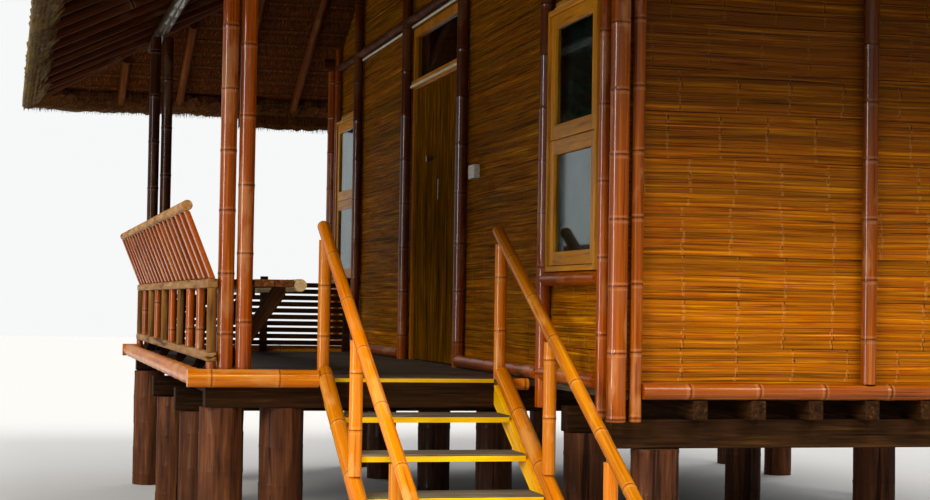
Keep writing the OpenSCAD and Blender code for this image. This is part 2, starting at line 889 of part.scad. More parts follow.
// The space of the lower newels and all beyond them, cut off the pieces that end against them
module beyond_lower_newels() {
  box([stair_x0 - going, lower_newel_y - 2 * going, -len_x],
      [stair_x1 + going, lower_newel_y + newel_d / 2 + fit, len_x]);
}

module stair_stringers() {
  color("gold") difference() {
    union() {
      stair_slope_plank(stair_x0 - stringer_t, stair_x0, string_drop, stringer_h);
      stair_slope_plank(stair_x1, stair_x1 + stringer_t, string_drop, stringer_h);
    }
    beyond_lower_newels();
  }
}

module stair_treads() {
  color("#6a6660") {
    for (i = [1 : rises - 1]) {
      y = stair_y - i * going;
      z = z_floor - i * rise;
      box([stair_x0 + fit, y, z - tread_t], [stair_x1 - fit, y + tread_depth, z]);
    }
  }
}

module slope_bamboo(d, x, above, y0, y1) {
  z0 = z_floor + (y0 - stair_y) * tan(stair_pitch) + above;
  len = (y1 - y0) / cos(stair_pitch);
  translate([x, y0, z0]) rotate([stair_pitch - 90, 0, 0]) cylinder(d = d, h = len);
}

// Bamboos laid on both stringers, with their ends cut plumb
module stair_side_bamboos() {
  color("darkorange") difference() {
    for (x = [stair_x0 - stair_line, stair_x1 + stair_line]) {
      slope_bamboo(side_bamboo_d, x, side_rise, stair_foot_y - going, stair_y + going);
    }
    box([stair_x0 - going, stair_y, -len_x], [stair_x1 + going, stair_y + 2 * going, len_x]);
    box([stair_x0 - going, stair_foot_y - 2 * going, -len_x], [stair_x1 + going, stair_y, 0]);
    beyond_lower_newels();
  }
}

// Height of a line parallel to the nosings
function along_stair(y, above) = z_floor + (y - stair_y) * tan(stair_pitch) + above;

// A newel between two heights, with its ends cut to the slope where asked
module newel(x, y, foot, slope_foot) {
  top = (handrail_d / 2 + fit) / cos(stair_pitch);
  reach = 2 * newel_d;
  difference() {
    bamboo_z(newel_d, x, y, foot, along_stair(y, handrail_rise));
    translate([x - newel_d, y, along_stair(y, handrail_rise - top)]) rotate([stair_pitch, 0, 0])
      translate([0, -reach, 0]) cube([reach, 2 * reach, 2 * reach]);
    if (slope_foot) {
      translate([x - newel_d, y, along_stair(y, side_rise + side_lift)])
        rotate([stair_pitch, 0, 0]) translate([0, -reach, -2 * reach]) cube([reach, 2 * reach, 2 * reach]);
    }
  }
}

// The upper newels stand on the floor edge, the middle ones on the sloping bamboos
// and the lower ones on the ground
module newels() {
  color("darkorange") {
    for (x = [stair_x0 - stair_line, stair_x1 + stair_line]) {
      newel(x, upper_newel_y, z_floor, false);
      newel(x, mid_newel_y, along_stair(mid_newel_y, side_rise), true);
      newel(x, lower_newel_y, 0, false);
    }
  }
}

module handrails() {
  color("orange") {
    for (x = [stair_x0 - stair_line, stair_x1 + stair_line]) {
      slope_bamboo(handrail_d, x, handrail_rise, lower_newel_y - handrail_end, upper_newel_y + newel_d);
    }
  }
}

// Roof. Every slope is drawn rising along +X to the middle, then turned into place.
// spread is half the ridge on the long slopes and minus that on the hip ends
module thatch_slope(half_run, spread) {
  top = max(0, -spread);
  color("#8a7552") intersection() {
    rotate([90, 0, 0]) linear_extrude(2 * (half_run + spread), center = true)
      polygon([
        [-half_run, roof_z(0)], [-top, roof_z(half_run - top)],
        [-top, roof_z(half_run - top) + thatch_v], [-half_run, roof_z(0) + thatch_v]
      ]);
    linear_extrude(3 * roof_z(half_run))
      polygon([
        [-half_run, -half_run - spread], [-top, -top - spread],
        [-top, top + spread], [-half_run, half_run + spread]
      ]);
  }
}

module slope_rafters(half_run, spread) {
  across = half_run + spread;
  count = floor((across - rafter_pitch) / rafter_pitch - 0.5);
  down = (rafter_d / 2 + fit) / cos(pitch);
  hip_room = (hip_d + rafter_d) * 0.75;
  for (i = [-count - 1 : count]) {
    y = (i + 0.5) * rafter_pitch;
    stop = max(abs(y) - spread + hip_room, hip_d / 2 + fit);
    x0 = -half_run + rafter_d / 2;
    if (-stop - x0 > rafter_pitch) {
      color("#6a4422") translate([x0, y, roof_z(half_run + x0) - down]) rotate([0, 90 - pitch, 0])
        cylinder(d = rafter_d, h = (-stop - x0) / cos(pitch));
    }
  }
}

module front_rafters() {
  slope_rafters(len_x / 2, ridge_half);
}

module back_rafters() {
  rotate([0, 0, 180]) slope_rafters(len_x / 2, ridge_half);
}

module near_rafters() {
  rotate([0, 0, 90]) slope_rafters(len_y / 2, -ridge_half);
}

module far_rafters() {
  rotate([0, 0, -90]) slope_rafters(len_y / 2, -ridge_half);
}

// Hip poles lie right under the hips of the thatch and stop short of the ridge pole
module hip_poles() {
  run = len_x / 2;
  hip_pitch = atan(tan(pitch) / sqrt(2));
  start = hip_d;
  down = (hip_d / 2 + fit) / cos(pitch);
  length = (run - 2 * start) * sqrt(2) / cos(hip_pitch);
  color("#7a4a22") {
    for (sx = [-1, 1]) {
      for (sy = [-1, 1]) {
        translate([sx * (run - start), sy * (len_y / 2 - start), roof_z(start) - down])
          rotate([0, 0, atan2(-sy, -sx)]) rotate([0, 90 - hip_pitch, 0]) cylinder(d = hip_d, h = length);
      }
    }
    bamboo_y(hip_d, 0, roof_z(run) - down, -ridge_half, ridge_half);
  }
}

module front_thatch() {
  thatch_slope(len_x / 2, ridge_half);
}

module back_thatch() {
  rotate([0, 0, 180]) thatch_slope(len_x / 2, ridge_half);
}

module near_thatch() {
  rotate([0, 0, 90]) thatch_slope(len_y / 2, -ridge_half);
}

module far_thatch() {
  rotate([0, 0, -90]) thatch_slope(len_y / 2, -ridge_half);
}

module ridge_cap() {
  top = roof_z(len_x / 2) + thatch_v + fit;
  side_z = top - cap_half * tan(pitch);
  cap_v = cap_t / cos(pitch);
  reach = ridge_half + cap_half;
  color("#7d6a48") translate([0, reach, 0]) rotate([90, 0, 0]) linear_extrude(2 * reach)
    polygon([
      [-cap_half, side_z], [0, top], [cap_half, side_z],
      [cap_half, side_z + cap_v], [0, top + cap_v], [-cap_half, side_z + cap_v]
    ]);
}

veranda_piers();
front_piers();
middle_piers();
back_piers();
floor_beams();
house_joists();
veranda_joists();
house_floor();
veranda_floor();
floor_edges();
corner_posts();
flank_posts();
wall_posts();
base_rails();
front_window_walls();
front_panels();
front_over_door();
near_side_wall();
far_side_wall();
back_wall();
wall_rails();
wall_plates();
window_frames();
glass_panes();
window_sills();
head_strips();
door_frame();
left_door_leaf();
right_door_leaf();
left_leaf_fittings();
right_leaf_fittings();
hinge_pins();
switch_box();
conduit();
veranda_posts();
veranda_plate();
bench_seat();
bench_brackets();
railing_rails();
balusters();
backrest_slats();
end_railing();
stair_stringers();
stair_treads();
stair_side_bamboos();
newels();
handrails();
front_rafters();
back_rafters();
near_rafters();
far_rafters();
hip_poles();
front_thatch();
back_thatch();
near_thatch();
far_thatch();
ridge_cap();
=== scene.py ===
# %% [markdown]
# # Bamboo stilt house
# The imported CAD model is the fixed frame: its nodes give every place and size.
# Each visible piece is built over the node it stands for, so nothing is placed by eye.

# %% Load the frame
import math
import random
from contextlib import contextmanager

import bmesh
import bpy
import numpy as np
from mathutils import Matrix, Vector


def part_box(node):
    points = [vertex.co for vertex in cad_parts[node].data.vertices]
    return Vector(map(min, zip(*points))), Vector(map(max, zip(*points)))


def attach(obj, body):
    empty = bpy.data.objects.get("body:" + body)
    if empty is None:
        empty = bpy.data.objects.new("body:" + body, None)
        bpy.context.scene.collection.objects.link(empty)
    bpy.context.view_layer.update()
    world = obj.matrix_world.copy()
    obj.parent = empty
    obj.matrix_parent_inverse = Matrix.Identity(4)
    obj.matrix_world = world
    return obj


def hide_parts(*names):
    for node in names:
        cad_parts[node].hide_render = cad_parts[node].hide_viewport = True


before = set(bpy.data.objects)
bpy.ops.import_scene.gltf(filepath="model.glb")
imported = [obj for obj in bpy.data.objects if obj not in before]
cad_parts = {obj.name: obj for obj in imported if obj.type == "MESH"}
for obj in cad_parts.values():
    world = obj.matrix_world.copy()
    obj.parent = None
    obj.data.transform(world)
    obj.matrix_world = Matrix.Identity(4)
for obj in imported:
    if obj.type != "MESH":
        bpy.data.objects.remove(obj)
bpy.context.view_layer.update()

# %% [markdown]
# ## Camera, floor and light
# The photograph was taken from just outside the near corner, a little above eye level of
# the floor, with a long lens. The camera is built from its own three directions, because
# the picture is also rolled by about one degree, which a Track To constraint can't give.

# %% Camera
IMAGE_WIDTH = 930
FOCAL_PIXELS = 1769.9
SENSOR_MM = 36.0
YAW, PITCH, ROLL = 0.2549, 0.0306, 0.0164
CAMERA_PLACE = (-4.1447, -12.488, 1.5396)


def set_out(name, data):
    """Puts a mesh, a lens or a lamp into the scene as an object at the origin."""
    item = bpy.data.objects.new(name, data)
    bpy.context.scene.collection.objects.link(item)
    return item


ahead = Vector((math.sin(YAW) * math.cos(PITCH), math.cos(YAW) * math.cos(PITCH), math.sin(PITCH)))
level_right = Vector((math.cos(YAW), -math.sin(YAW), 0))
level_up = level_right.cross(ahead)
right = math.cos(ROLL) * level_right + math.sin(ROLL) * level_up
up = -math.sin(ROLL) * level_right + math.cos(ROLL) * level_up

lens = bpy.data.cameras.new("camera")
lens.sensor_width = SENSOR_MM
lens.sensor_fit = "HORIZONTAL"
lens.lens = FOCAL_PIXELS * SENSOR_MM / IMAGE_WIDTH
lens.clip_end = 200
camera = set_out("camera", lens)
camera.matrix_world = Matrix(
    [(right[i], up[i], -ahead[i], CAMERA_PLACE[i]) for i in range(3)] + [(0, 0, 0, 1)])
bpy.context.scene.camera = camera
bpy.context.scene.view_settings.view_transform = "Standard"
print("lens", round(lens.lens, 2), "mm")

# %% [markdown]
# Materials, the world and Geometry Nodes are all trees of nodes. Two helpers add a node and
# join its inputs, so each tree below reads as a list of steps. Colours are written as they
# look on a screen and turned into the light that shaders add up.

# %% Node helpers


def linear(red, green, blue):
    """A screen colour, 0 to 255, as the linear colour that shaders use."""
    out = []
    for value in (red, green, blue):
        v = value / 255
        out.append(v / 12.92 if v <= 0.04045 else ((v + 0.055) / 1.055) ** 2.4)
    return (*out, 1.0)


def connect(tree, node, **inputs):
    """Joins sockets to a node's inputs and sets plain values. i3 means input number 3."""
    for key, value in inputs.items():
        by_number = key[0] == "i" and key[1:].isdigit()
        socket = node.inputs[int(key[1:])] if by_number else node.inputs[key.replace("_", " ")]
        if isinstance(value, bpy.types.NodeSocket):
            tree.links.new(value, socket)
        else:
            socket.default_value = value
    return node


def add(tree, kind, props=None, **inputs):
    """Adds a node with its properties and inputs."""
    node = tree.nodes.new(kind)
    for key, value in (props or {}).items():
        setattr(node, key, value)
    return connect(tree, node, **inputs)


def plain_mesh(name, points, faces, material):
    mesh = bpy.data.meshes.new(name)
    mesh.from_pydata([tuple(p) for p in points], [], [tuple(f) for f in faces])
    mesh.materials.append(material)
    return set_out(name, mesh)


def new_finish(name):
    """A new material, its tree and its shader."""
    material = bpy.data.materials.new(name)
    material.use_nodes = True
    tree = material.node_tree
    return material, tree, tree.nodes["Principled BSDF"]


print("half grey on the screen is", round(linear(128, 128, 128)[0], 3), "as light")

# %% [markdown]
# The studio is a wide pale floor that runs out to a pale world. The camera and the glass see
# the world pale all over. It lights the house faintly from the horizon and more from above,
# and what is glossy sees it brighter on the open side of the veranda.

# %% Floor and sky
FLOOR_HALF = 60
pale, tree, shader = new_finish("pale_floor")
connect(tree, shader, Base_Color=linear(202, 200, 196), Roughness=0.9)
ground = plain_mesh("studio_floor", [(FLOOR_HALF * x, FLOOR_HALF * y, 0) for x, y in (
    (-1, -1), (1, -1), (1, 1), (-1, 1))], [(0, 1, 2, 3)], pale)

world = bpy.data.worlds.new("studio")
bpy.context.scene.world = world
world.use_nodes = True
sky = world.node_tree
sky.nodes.clear()
rays = add(sky, "ShaderNodeLightPath")
seen = add(sky, "ShaderNodeMath", {"operation": "MAXIMUM"}, i0=rays.outputs["Is Camera Ray"],
           i1=rays.outputs["Is Transmission Ray"])
aim = add(sky, "ShaderNodeSeparateXYZ", Vector=add(sky, "ShaderNodeTexCoord").outputs["Generated"])
climb = add(sky, "ShaderNodeMapRange", {"clamp": True}, Value=aim.outputs[2], i1=0.0, i2=0.8, i3=0.1,
            i4=0.9)
open_side = add(sky, "ShaderNodeMapRange", {"clamp": True}, Value=aim.outputs[0], i1=0.1, i2=-0.3, i3=0.0,
                i4=0.5)
glow = add(sky, "ShaderNodeMath", {"operation": "MULTIPLY_ADD"}, i0=rays.outputs["Is Glossy Ray"],
           i1=open_side.outputs[0], i2=climb.outputs[0])
lit = add(sky, "ShaderNodeBackground", Color=(0.95, 0.97, 1.0, 1), Strength=glow.outputs[0])
shown = add(sky, "ShaderNodeBackground", Color=(0.93, 0.94, 0.94, 1), Strength=1.0)
either = add(sky, "ShaderNodeMixShader", i0=seen.outputs[0], i1=lit.outputs[0], i2=shown.outputs[0])
add(sky, "ShaderNodeOutputWorld", Surface=either.outputs[0])
print("sky tree:", len(sky.nodes), "nodes")

# %% [markdown]
# Three broad, soft lamps far away light the house evenly, the strongest from the open side of
# the veranda. Under the eaves most of the light comes back up from the floor, as it does on a
# real house on stilts. A tall card beside the veranda only shows as a bright line in the
# varnish of the posts, and a soft spot brightens the lower half of the stair, which stands
# out from under the eaves.

# %% Lamps


def lamp(name, kind, strength, toward, place=(0, 0, 0)):
    """A lamp and its object. toward is where its light goes."""
    light = bpy.data.lights.new(name, kind)
    light.energy = strength
    holder = set_out(name, light)
    holder.location = place
    holder.rotation_euler = Vector(toward).to_track_quat("-Z", "Y").to_euler()
    return light, holder


for name, toward, strength, spread, colour in (
    ("key_sun", (1.0, 0.75, -0.8), 2.0, 25, (1.0, 0.97, 0.92)),
    ("side_sun", (-0.3, 1.0, -1.15), 1.9, 28, (1.0, 0.98, 0.95)),
    ("back_sun", (-0.8, -0.7, -0.9), 0.9, 40, (0.96, 0.98, 1.0)),
):
    sun = lamp(name, "SUN", strength, toward)[0]
    sun.angle, sun.color = math.radians(spread), colour
card, card_holder = lamp("varnish_card", "AREA", 1000, (1.0, 0.3, 0.0), (-14, -7, 3.6))
card.shape, card.size, card.size_y = "RECTANGLE", 2.2, 7.0
card_holder.visible_diffuse = False
spot = lamp("stair_light", "SPOT", 1100, (5.0, 4.6, -1.9), (-7.0, -8.5, 2.4))[0]
spot.shadow_soft_size, spot.spot_size, spot.spot_blend = 0.5, math.radians(24), 1.0
print("lamps:", len(bpy.data.lights))

# %% [markdown]
# ## Reading the frame
# Many nodes hold several separate solids, such as all the posts of one kind. They are taken
# apart here: a round solid gives its axis, ends and radius, and a board gives its corners.

# %% Separate solids


def solids(node):
    """The separate solids of a CAD node, each as corner points and triangles."""
    bm = bmesh.new()
    bm.from_mesh(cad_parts[node].data)
    bmesh.ops.remove_doubles(bm, verts=bm.verts, dist=2e-5)
    bm.verts.ensure_lookup_table()
    left, found = set(bm.verts), []
    while left:
        group, edge = set(), [next(iter(left))]
        while edge:
            v = edge.pop()
            if v in group:
                continue
            group.add(v)
            edge += [e.other_vert(v) for e in v.link_edges if e.other_vert(v) not in group]
        left -= group
        order = sorted(group, key=lambda v: v.index)
        place = {v: i for i, v in enumerate(order)}
        faces = {f for v in order for f in v.link_faces}
        found.append((np.array([v.co for v in order]),
                      [[place[v] for v in f.verts] for f in sorted(faces, key=lambda f: f.index)]))
    bm.free()
    return sorted(found, key=lambda s: tuple(np.round(s[0].mean(0), 3)))


def rods(node):
    """Start, end and radius of each round rod of a CAD node."""
    out = []
    for points, faces in solids(node):
        spread = np.zeros((3, 3))
        for f in faces:
            a, b, c = points[f[0]], points[f[1]], points[f[2]]
            n = np.cross(b - a, c - a)
            size = np.linalg.norm(n)
            if size > 0:
                spread += np.outer(n, n) / size
        axis = np.linalg.eigh(spread)[1][:, 0]
        if axis[np.argmax(np.abs(axis))] < 0:
            axis = -axis
        if axis.max() > 0.998:
            axis = np.round(axis)
        middle = points.mean(0)
        along = (points - middle) @ axis
        off = np.linalg.norm((points - middle) - np.outer(along, axis), axis=1)
        low, high = along < 0, along >= 0
        out.append((middle + axis * along[low].mean(), middle + axis * along[high].mean(), np.median(off)))
    return out


for check in ("corner_posts", "handrails"):
    print(check, [(np.round(a, 2).tolist(), np.round(b, 2).tolist(), round(r, 3)) for a, b, r in rods(check)])

# %% [markdown]
# ## Finishes
# Wood and bamboo have a direction. Every piece therefore carries its own coordinates in an
# attribute named grain, whose third number runs along the fibres, and a number named tone
# that differs from stick to stick. One material then fits upright, level and sloping pieces.

# %% Colour helpers
BLACK, WHITE = (0, 0, 0, 1), (1, 1, 1, 1)


def ramp(tree, factor, *stops):
    """A colour ramp from (position, colour) pairs."""
    node = add(tree, "ShaderNodeValToRGB", Fac=factor)
    node.color_ramp.interpolation = "EASE"
    while len(node.color_ramp.elements) < len(stops):
        node.color_ramp.elements.new(0.5)
    for element, (position, colour) in zip(node.color_ramp.elements, stops):
        element.position, element.color = position, colour
    return node.outputs["Color"]


def mask(tree, value, black_at, white_at):
    """Turns a value into a mask that is black on one side of an edge and white on the other."""
    return ramp(tree, value, *sorted(((black_at, BLACK), (white_at, WHITE))))


def blend_colours(tree, kind, factor, first, second):
    """Mixes two colours in one of the Mix node's ways."""
    return add(tree, "ShaderNodeMix", {"data_type": "RGBA", "blend_type": kind}, i0=factor, i6=first,
               i7=second).outputs[2]


def sums(tree, kind, first, second=0.0, third=0.0):
    """One sum in a tree. MULTIPLY_ADD is first times second plus third."""
    return add(tree, "ShaderNodeMath", {"operation": kind}, i0=first, i1=second, i2=third).outputs[0]


def layer(tree, colour, where, strength, second):
    """Mixes a second colour in where a mask is white."""
    return blend_colours(tree, "MIX", sums(tree, "MULTIPLY", where, strength), colour, second)


def shaded(tree, colour, share, green=None):
    """Multiplies a colour by a number, with another number for its green if one is given."""
    by = add(tree, "ShaderNodeCombineColor", Red=share, Green=share if green is None else green, Blue=share)
    return blend_colours(tree, "MULTIPLY", 1.0, colour, by.outputs[0])


def darker(colour, share):
    """A share of a colour, still opaque."""
    return tuple(c * share for c in colour[:3]) + (1,)


def fibres(tree, grain, across, along, detail=5.0, twist=0.2):
    """Noise drawn out along the fibres, from 0 to 1."""
    spread = add(tree, "ShaderNodeMapping", Vector=grain, Scale=(across, across, along))
    return add(tree, "ShaderNodeTexNoise", Vector=spread.outputs[0], Scale=1.0, Detail=detail,
               Roughness=0.6, Distortion=twist).outputs[0]


def attribute(tree, name, output="Fac"):
    """Reads what a piece carries under this name."""
    return add(tree, "ShaderNodeAttribute", {"attribute_name": name}).outputs[output]


def height(tree, shader, value, strength, distance):
    """Gives a finish a fine relief that follows a value."""
    bump = add(tree, "ShaderNodeBump", Height=value, Strength=strength, Distance=distance)
    connect(tree, shader, Normal=bump.outputs[0])


print("materials of the frame and the studio:", len(bpy.data.materials))

# %% [markdown]
# Varnished bamboo is glossy with soft, long streaks. Each joint of the culm is a dark thin
# ring with a paler waxy band beside it, and the ring attribute says where those are.
# Higher up under the eaves the colour gets darker: painted shade of the eaves, carried in an
# attribute that follows the height.

# %% Bamboo


def bamboo(name, dark, middle, light, gloss=0.5, wear=0.35, patches=None, sheen=0.05, fine=0.0):
    """wear: strength of the faded patches. patches: their colour, if it isn't a pale one.
    sheen: shine of the bare wood. fine: strength of thin cracks between the fibres."""
    material, tree, shader = new_finish(name)
    dark, middle, light = linear(*dark), linear(*middle), linear(*light)
    grain, ring, tone = attribute(tree, "grain", "Vector"), attribute(tree, "ring"), attribute(tree, "tone")
    streak = fibres(tree, grain, 70, 1.3)
    patch = fibres(tree, grain, 7, 2.2, 3.0)
    colour = ramp(tree, streak, (0.25, dark), (0.5, middle), (0.78, light))
    colour = shaded(tree, colour, sums(tree, "MULTIPLY_ADD", tone, 0.42, 0.8),
                    green=sums(tree, "MULTIPLY_ADD", tone, 0.3, 0.85))
    pale = tuple(c * 0.6 + 0.4 * g for c, g in zip(light, linear(196, 170, 130)))
    colour = layer(tree, colour, mask(tree, patch, 0.54, 0.66), wear, linear(*patches) if patches else pale)
    if fine:
        split = mask(tree, fibres(tree, grain, 150, 1.1, 2.0, 0.1), 0.45, 0.38)
        colour = layer(tree, colour, split, fine, darker(dark, 0.45))
    band = ramp(tree, ring, (0.05, BLACK), (0.3, WHITE), (0.55, BLACK))
    wax = sums(tree, "MULTIPLY", band, fibres(tree, grain, 22, 9, 3.0))
    colour = layer(tree, colour, wax, 0.5, pale)
    colour = layer(tree, colour, mask(tree, ring, 0.6, 0.9), 0.72, darker(dark, 0.3))
    # Painted shade of the eaves: the colour darkens with the height that the piece marks
    colour = shaded(tree, colour, sums(tree, "MULTIPLY_ADD", attribute(tree, "shelter"), -0.8, 1.0))
    rough = sums(tree, "MULTIPLY_ADD", patch, 0.3, 0.42 - gloss * 0.3)
    connect(tree, shader, Base_Color=colour, Roughness=rough, Specular_IOR_Level=sheen, Coat_Weight=gloss,
            Coat_Roughness=0.1)
    height(tree, shader, streak, 0.35, 0.0012)
    return material


brown_bamboo = bamboo("brown_bamboo", (82, 30, 0), (156, 70, 1), (210, 116, 8), gloss=0.45, wear=0.42)
orange_bamboo = bamboo("orange_bamboo", (142, 66, 0), (202, 112, 2), (232, 152, 18), gloss=0.35, wear=0.45)
# A dark copy of the bamboo for the poles under the eaves: its darkness is painted shade
eave_bamboo = bamboo("eave_bamboo", (30, 13, 3), (66, 30, 8), (100, 54, 18), gloss=0.0, wear=0.15, sheen=0.02)
dark_bamboo = bamboo("dark_bamboo", (26, 11, 4), (62, 27, 10), (98, 50, 20), gloss=0.25, wear=0.2, sheen=0.03)
# A pale grey bamboo for the veranda plate: painted highlight, standing for the bright reflection along its
# varnish
grey_bamboo = bamboo("grey_bamboo", (30, 21, 9), (60, 48, 26), (112, 98, 66), gloss=0.35, wear=0.3)
# A lighter copy for the far rafters: painted light, where that slope is lit
rafter_bamboo = bamboo("rafter_bamboo", (40, 18, 3), (84, 42, 8), (124, 70, 20), gloss=0.0, wear=0.15,
                       sheen=0.02)
pale_bamboo = bamboo("pale_bamboo", (150, 118, 74), (190, 158, 106), (214, 190, 146), gloss=0.3)

# %% [markdown]
# Sawn and weathered timber differ only in colour, gloss and how deep the cracks are, so one
# recipe makes the piers, the joists, the grey floor boards and the varnished doors.

# %% Timber


def timber(name, dark, middle, light, rough=0.7, gloss=0.0, cracks=0.0, across=55, depth=0.002, stain=0.3,
           sheen=0.05):
    """cracks: strength of the splits. across: fibres to the metre. depth: of their relief.
    stain: strength of the dark patches. sheen: shine of the bare wood."""
    material, tree, shader = new_finish(name)
    dark, middle, light = linear(*dark), linear(*middle), linear(*light)
    grain, tone = attribute(tree, "grain", "Vector"), attribute(tree, "tone")
    streak = fibres(tree, grain, across, 2.2, 7.0, 0.5)
    patch = fibres(tree, grain, 6, 2.5, 3.0, 0.6)
    colour = ramp(tree, streak, (0.28, dark), (0.5, middle), (0.74, light))
    colour = shaded(tree, colour, sums(tree, "MULTIPLY_ADD", tone, 0.4, 0.8))
    colour = layer(tree, colour, mask(tree, patch, 0.42, 0.7), stain, darker(dark, 0.5))
    relief = streak
    if cracks:
        gap = mask(tree, fibres(tree, grain, across * 0.45, 0.7, 3.0, 0.8), 0.41, 0.36)
        colour = layer(tree, colour, gap, cracks, darker(dark, 0.25))
        relief = sums(tree, "SUBTRACT", streak, gap)
    rough = sums(tree, "MULTIPLY_ADD", streak, 0.25, rough - 0.12)
    connect(tree, shader, Base_Color=colour, Roughness=rough, Specular_IOR_Level=sheen, Coat_Weight=gloss,
            Coat_Roughness=0.2)
    height(tree, shader, relief, 0.5, depth)
    return material


pier_timber = timber("pier_timber", (44, 24, 12), (86, 48, 26), (122, 76, 44), gloss=0.05, cracks=0.8,
                     across=30, depth=0.006)
frame_timber = timber("frame_timber", (22, 11, 3), (48, 27, 9), (82, 52, 22), cracks=0.4)
floor_timber = timber("floor_timber", (44, 38, 32), (84, 74, 62), (126, 114, 98), rough=0.6, gloss=0.06,
                      cracks=0.4)
tread_timber = timber("tread_timber", (62, 54, 42), (104, 92, 72), (148, 136, 114), rough=0.75, cracks=0.5)
door_wood = timber("door_wood", (50, 26, 1), (108, 66, 4), (172, 118, 22), rough=0.6, across=45,
                   depth=0.0006, stain=0.35, sheen=0.0)
golden_wood = timber("golden_wood", (140, 74, 4), (192, 118, 14), (214, 144, 30), rough=0.45, gloss=0.12,
                     across=45, depth=0.0006, stain=0.25)
window_wood = timber("window_wood", (146, 84, 6), (198, 130, 20), (226, 166, 42), rough=0.42, gloss=0.2,
                     across=45, depth=0.0006, stain=0.16)
worn_wood = timber("worn_wood", (70, 40, 14), (134, 88, 36), (180, 134, 70), gloss=0.05, cracks=0.8,
                   across=30, depth=0.004)
rail_wood = timber("rail_wood", (104, 66, 30), (168, 120, 66), (206, 162, 106), rough=0.65, gloss=0.05,
                   cracks=0.9, across=26, depth=0.006)
seat_wood = timber("seat_wood", (50, 24, 8), (104, 58, 24), (150, 96, 52), rough=0.65, gloss=0.05,
                   cracks=0.5, across=34, depth=0.003)
yellow_paint = timber("yellow_paint", (220, 152, 1), (250, 194, 5), (255, 216, 20), rough=0.5, gloss=0.1,
                      cracks=0.15, across=40, depth=0.0008)
string_paint = timber("string_paint", (232, 146, 1), (254, 186, 4), (255, 208, 16), rough=0.5, gloss=0.1,
                      cracks=0.1, across=40, depth=0.0008, stain=0.1)
pale_strip = timber("pale_strip", (186, 176, 150), (222, 213, 188), (236, 230, 212), rough=0.6, cracks=0.1,
                    across=50, depth=0.0006, stain=0.15)
print("materials with all bamboo and timber finishes:", len(bpy.data.materials))

# %% [markdown]
# ## Round poles
# Posts, rails, rafters and handrails are bamboo culms along straight lines. Python only lays
# out the lines, with a point before, on and after each joint of the culm. A Geometry Nodes
# tree sweeps a circle along them, so one tree makes every pole of the house.

# %% Geometry Nodes helpers


def new_tree(name, **inputs):
    """A Geometry Nodes tree with one geometry in and out and named inputs of the given kinds."""
    tree = bpy.data.node_groups.new(name, "GeometryNodeTree")
    tree.interface.new_socket("Geometry", in_out="INPUT", socket_type="NodeSocketGeometry")
    for key, kind in inputs.items():
        tree.interface.new_socket(key.replace("_", " "), in_out="INPUT", socket_type="NodeSocket" + kind)
    tree.interface.new_socket("Geometry", in_out="OUTPUT", socket_type="NodeSocketGeometry")
    return tree, tree.nodes.new("NodeGroupInput"), tree.nodes.new("NodeGroupOutput")


def read(tree, name, kind="FLOAT"):
    """Reads an attribute inside a tree."""
    return add(tree, "GeometryNodeInputNamedAttribute", {"data_type": kind}, Name=name).outputs[0]


def store(tree, geometry, name, value, kind="FLOAT", domain="POINT"):
    """Writes an attribute inside a tree and returns the geometry with it."""
    return add(tree, "GeometryNodeStoreNamedAttribute", {"data_type": kind, "domain": domain},
               Geometry=geometry, Name=name, Value=value).outputs[0]


def coat(tree, geometry, given, result):
    """Ends a tree: what it made gets the material that is asked for."""
    coated = add(tree, "GeometryNodeSetMaterial", Geometry=geometry, Material=given.outputs["Material"])
    connect(tree, result, i0=coated.outputs[0])
    print(tree.name, "tree:", len(tree.nodes), "nodes")


def grow(piece, tree, **values):
    """Runs a tree on a piece and returns the result as a plain mesh object of the same name."""
    modifier = piece.modifiers.new("grow", "NODES")
    modifier.node_group = tree
    for item in tree.interface.items_tree:
        key = item.name.replace(" ", "_")
        if item.in_out == "INPUT" and key in values:
            modifier[item.identifier] = values[key]
    mesh = bpy.data.meshes.new_from_object(piece.evaluated_get(bpy.context.evaluated_depsgraph_get()))
    name = piece.name
    bpy.data.objects.remove(piece)
    mesh.name = name
    # An empty first slot would give eased edges no finish
    if mesh.materials and mesh.materials[0] is None:
        mesh.materials.pop(index=0)
    # The ends of poles are flat
    for polygon in mesh.polygons:
        if len(polygon.vertices) > 4:
            polygon.use_smooth = False
    return set_out(name, mesh)


def mark(mesh, **marks):
    """Stores a number or a vector on each point of a mesh, under the names given."""
    for name, values in marks.items():
        flat = np.ravel(values)
        kind, field = ("FLOAT", "value") if len(flat) == len(mesh.vertices) else ("FLOAT_VECTOR", "vector")
        mesh.attributes.new(name, kind, "POINT").data.foreach_set(field, flat)


# %% [markdown]
# The tree turns the lines into curves and sweeps the circle along them, a little thinner
# between the joints. It keeps each point's place on the circle and along the pole as the
# grain, and noise then pushes the skin of rough timber in and out.

# %% Pole tree
pole_tree, given, result = new_tree("poles", Sides="Int", Waist="Float", Wobble="Float",
                                    Wobble_Scale="Float", Material="Material")
line = add(pole_tree, "GeometryNodeMeshToCurve", Mesh=given.outputs["Geometry"])
thinner = sums(pole_tree, "MULTIPLY_ADD", sums(pole_tree, "SUBTRACT", read(pole_tree, "ring"), 1.0),
               given.outputs["Waist"], 1.0)
swell = sums(pole_tree, "MULTIPLY", read(pole_tree, "pole_radius"), thinner)
length = add(pole_tree, "GeometryNodeSplineParameter")
lined = store(pole_tree, line.outputs[0], "along", length.outputs["Length"])
circle = add(pole_tree, "GeometryNodeCurvePrimitiveCircle", Resolution=given.outputs["Sides"], Radius=1.0)
place = add(pole_tree, "GeometryNodeInputPosition")
profile = store(pole_tree, circle.outputs["Curve"], "round", place.outputs[0], "FLOAT_VECTOR")
swept = add(pole_tree, "GeometryNodeCurveToMesh", Curve=lined, Profile_Curve=profile, Scale=swell,
            Fill_Caps=True)
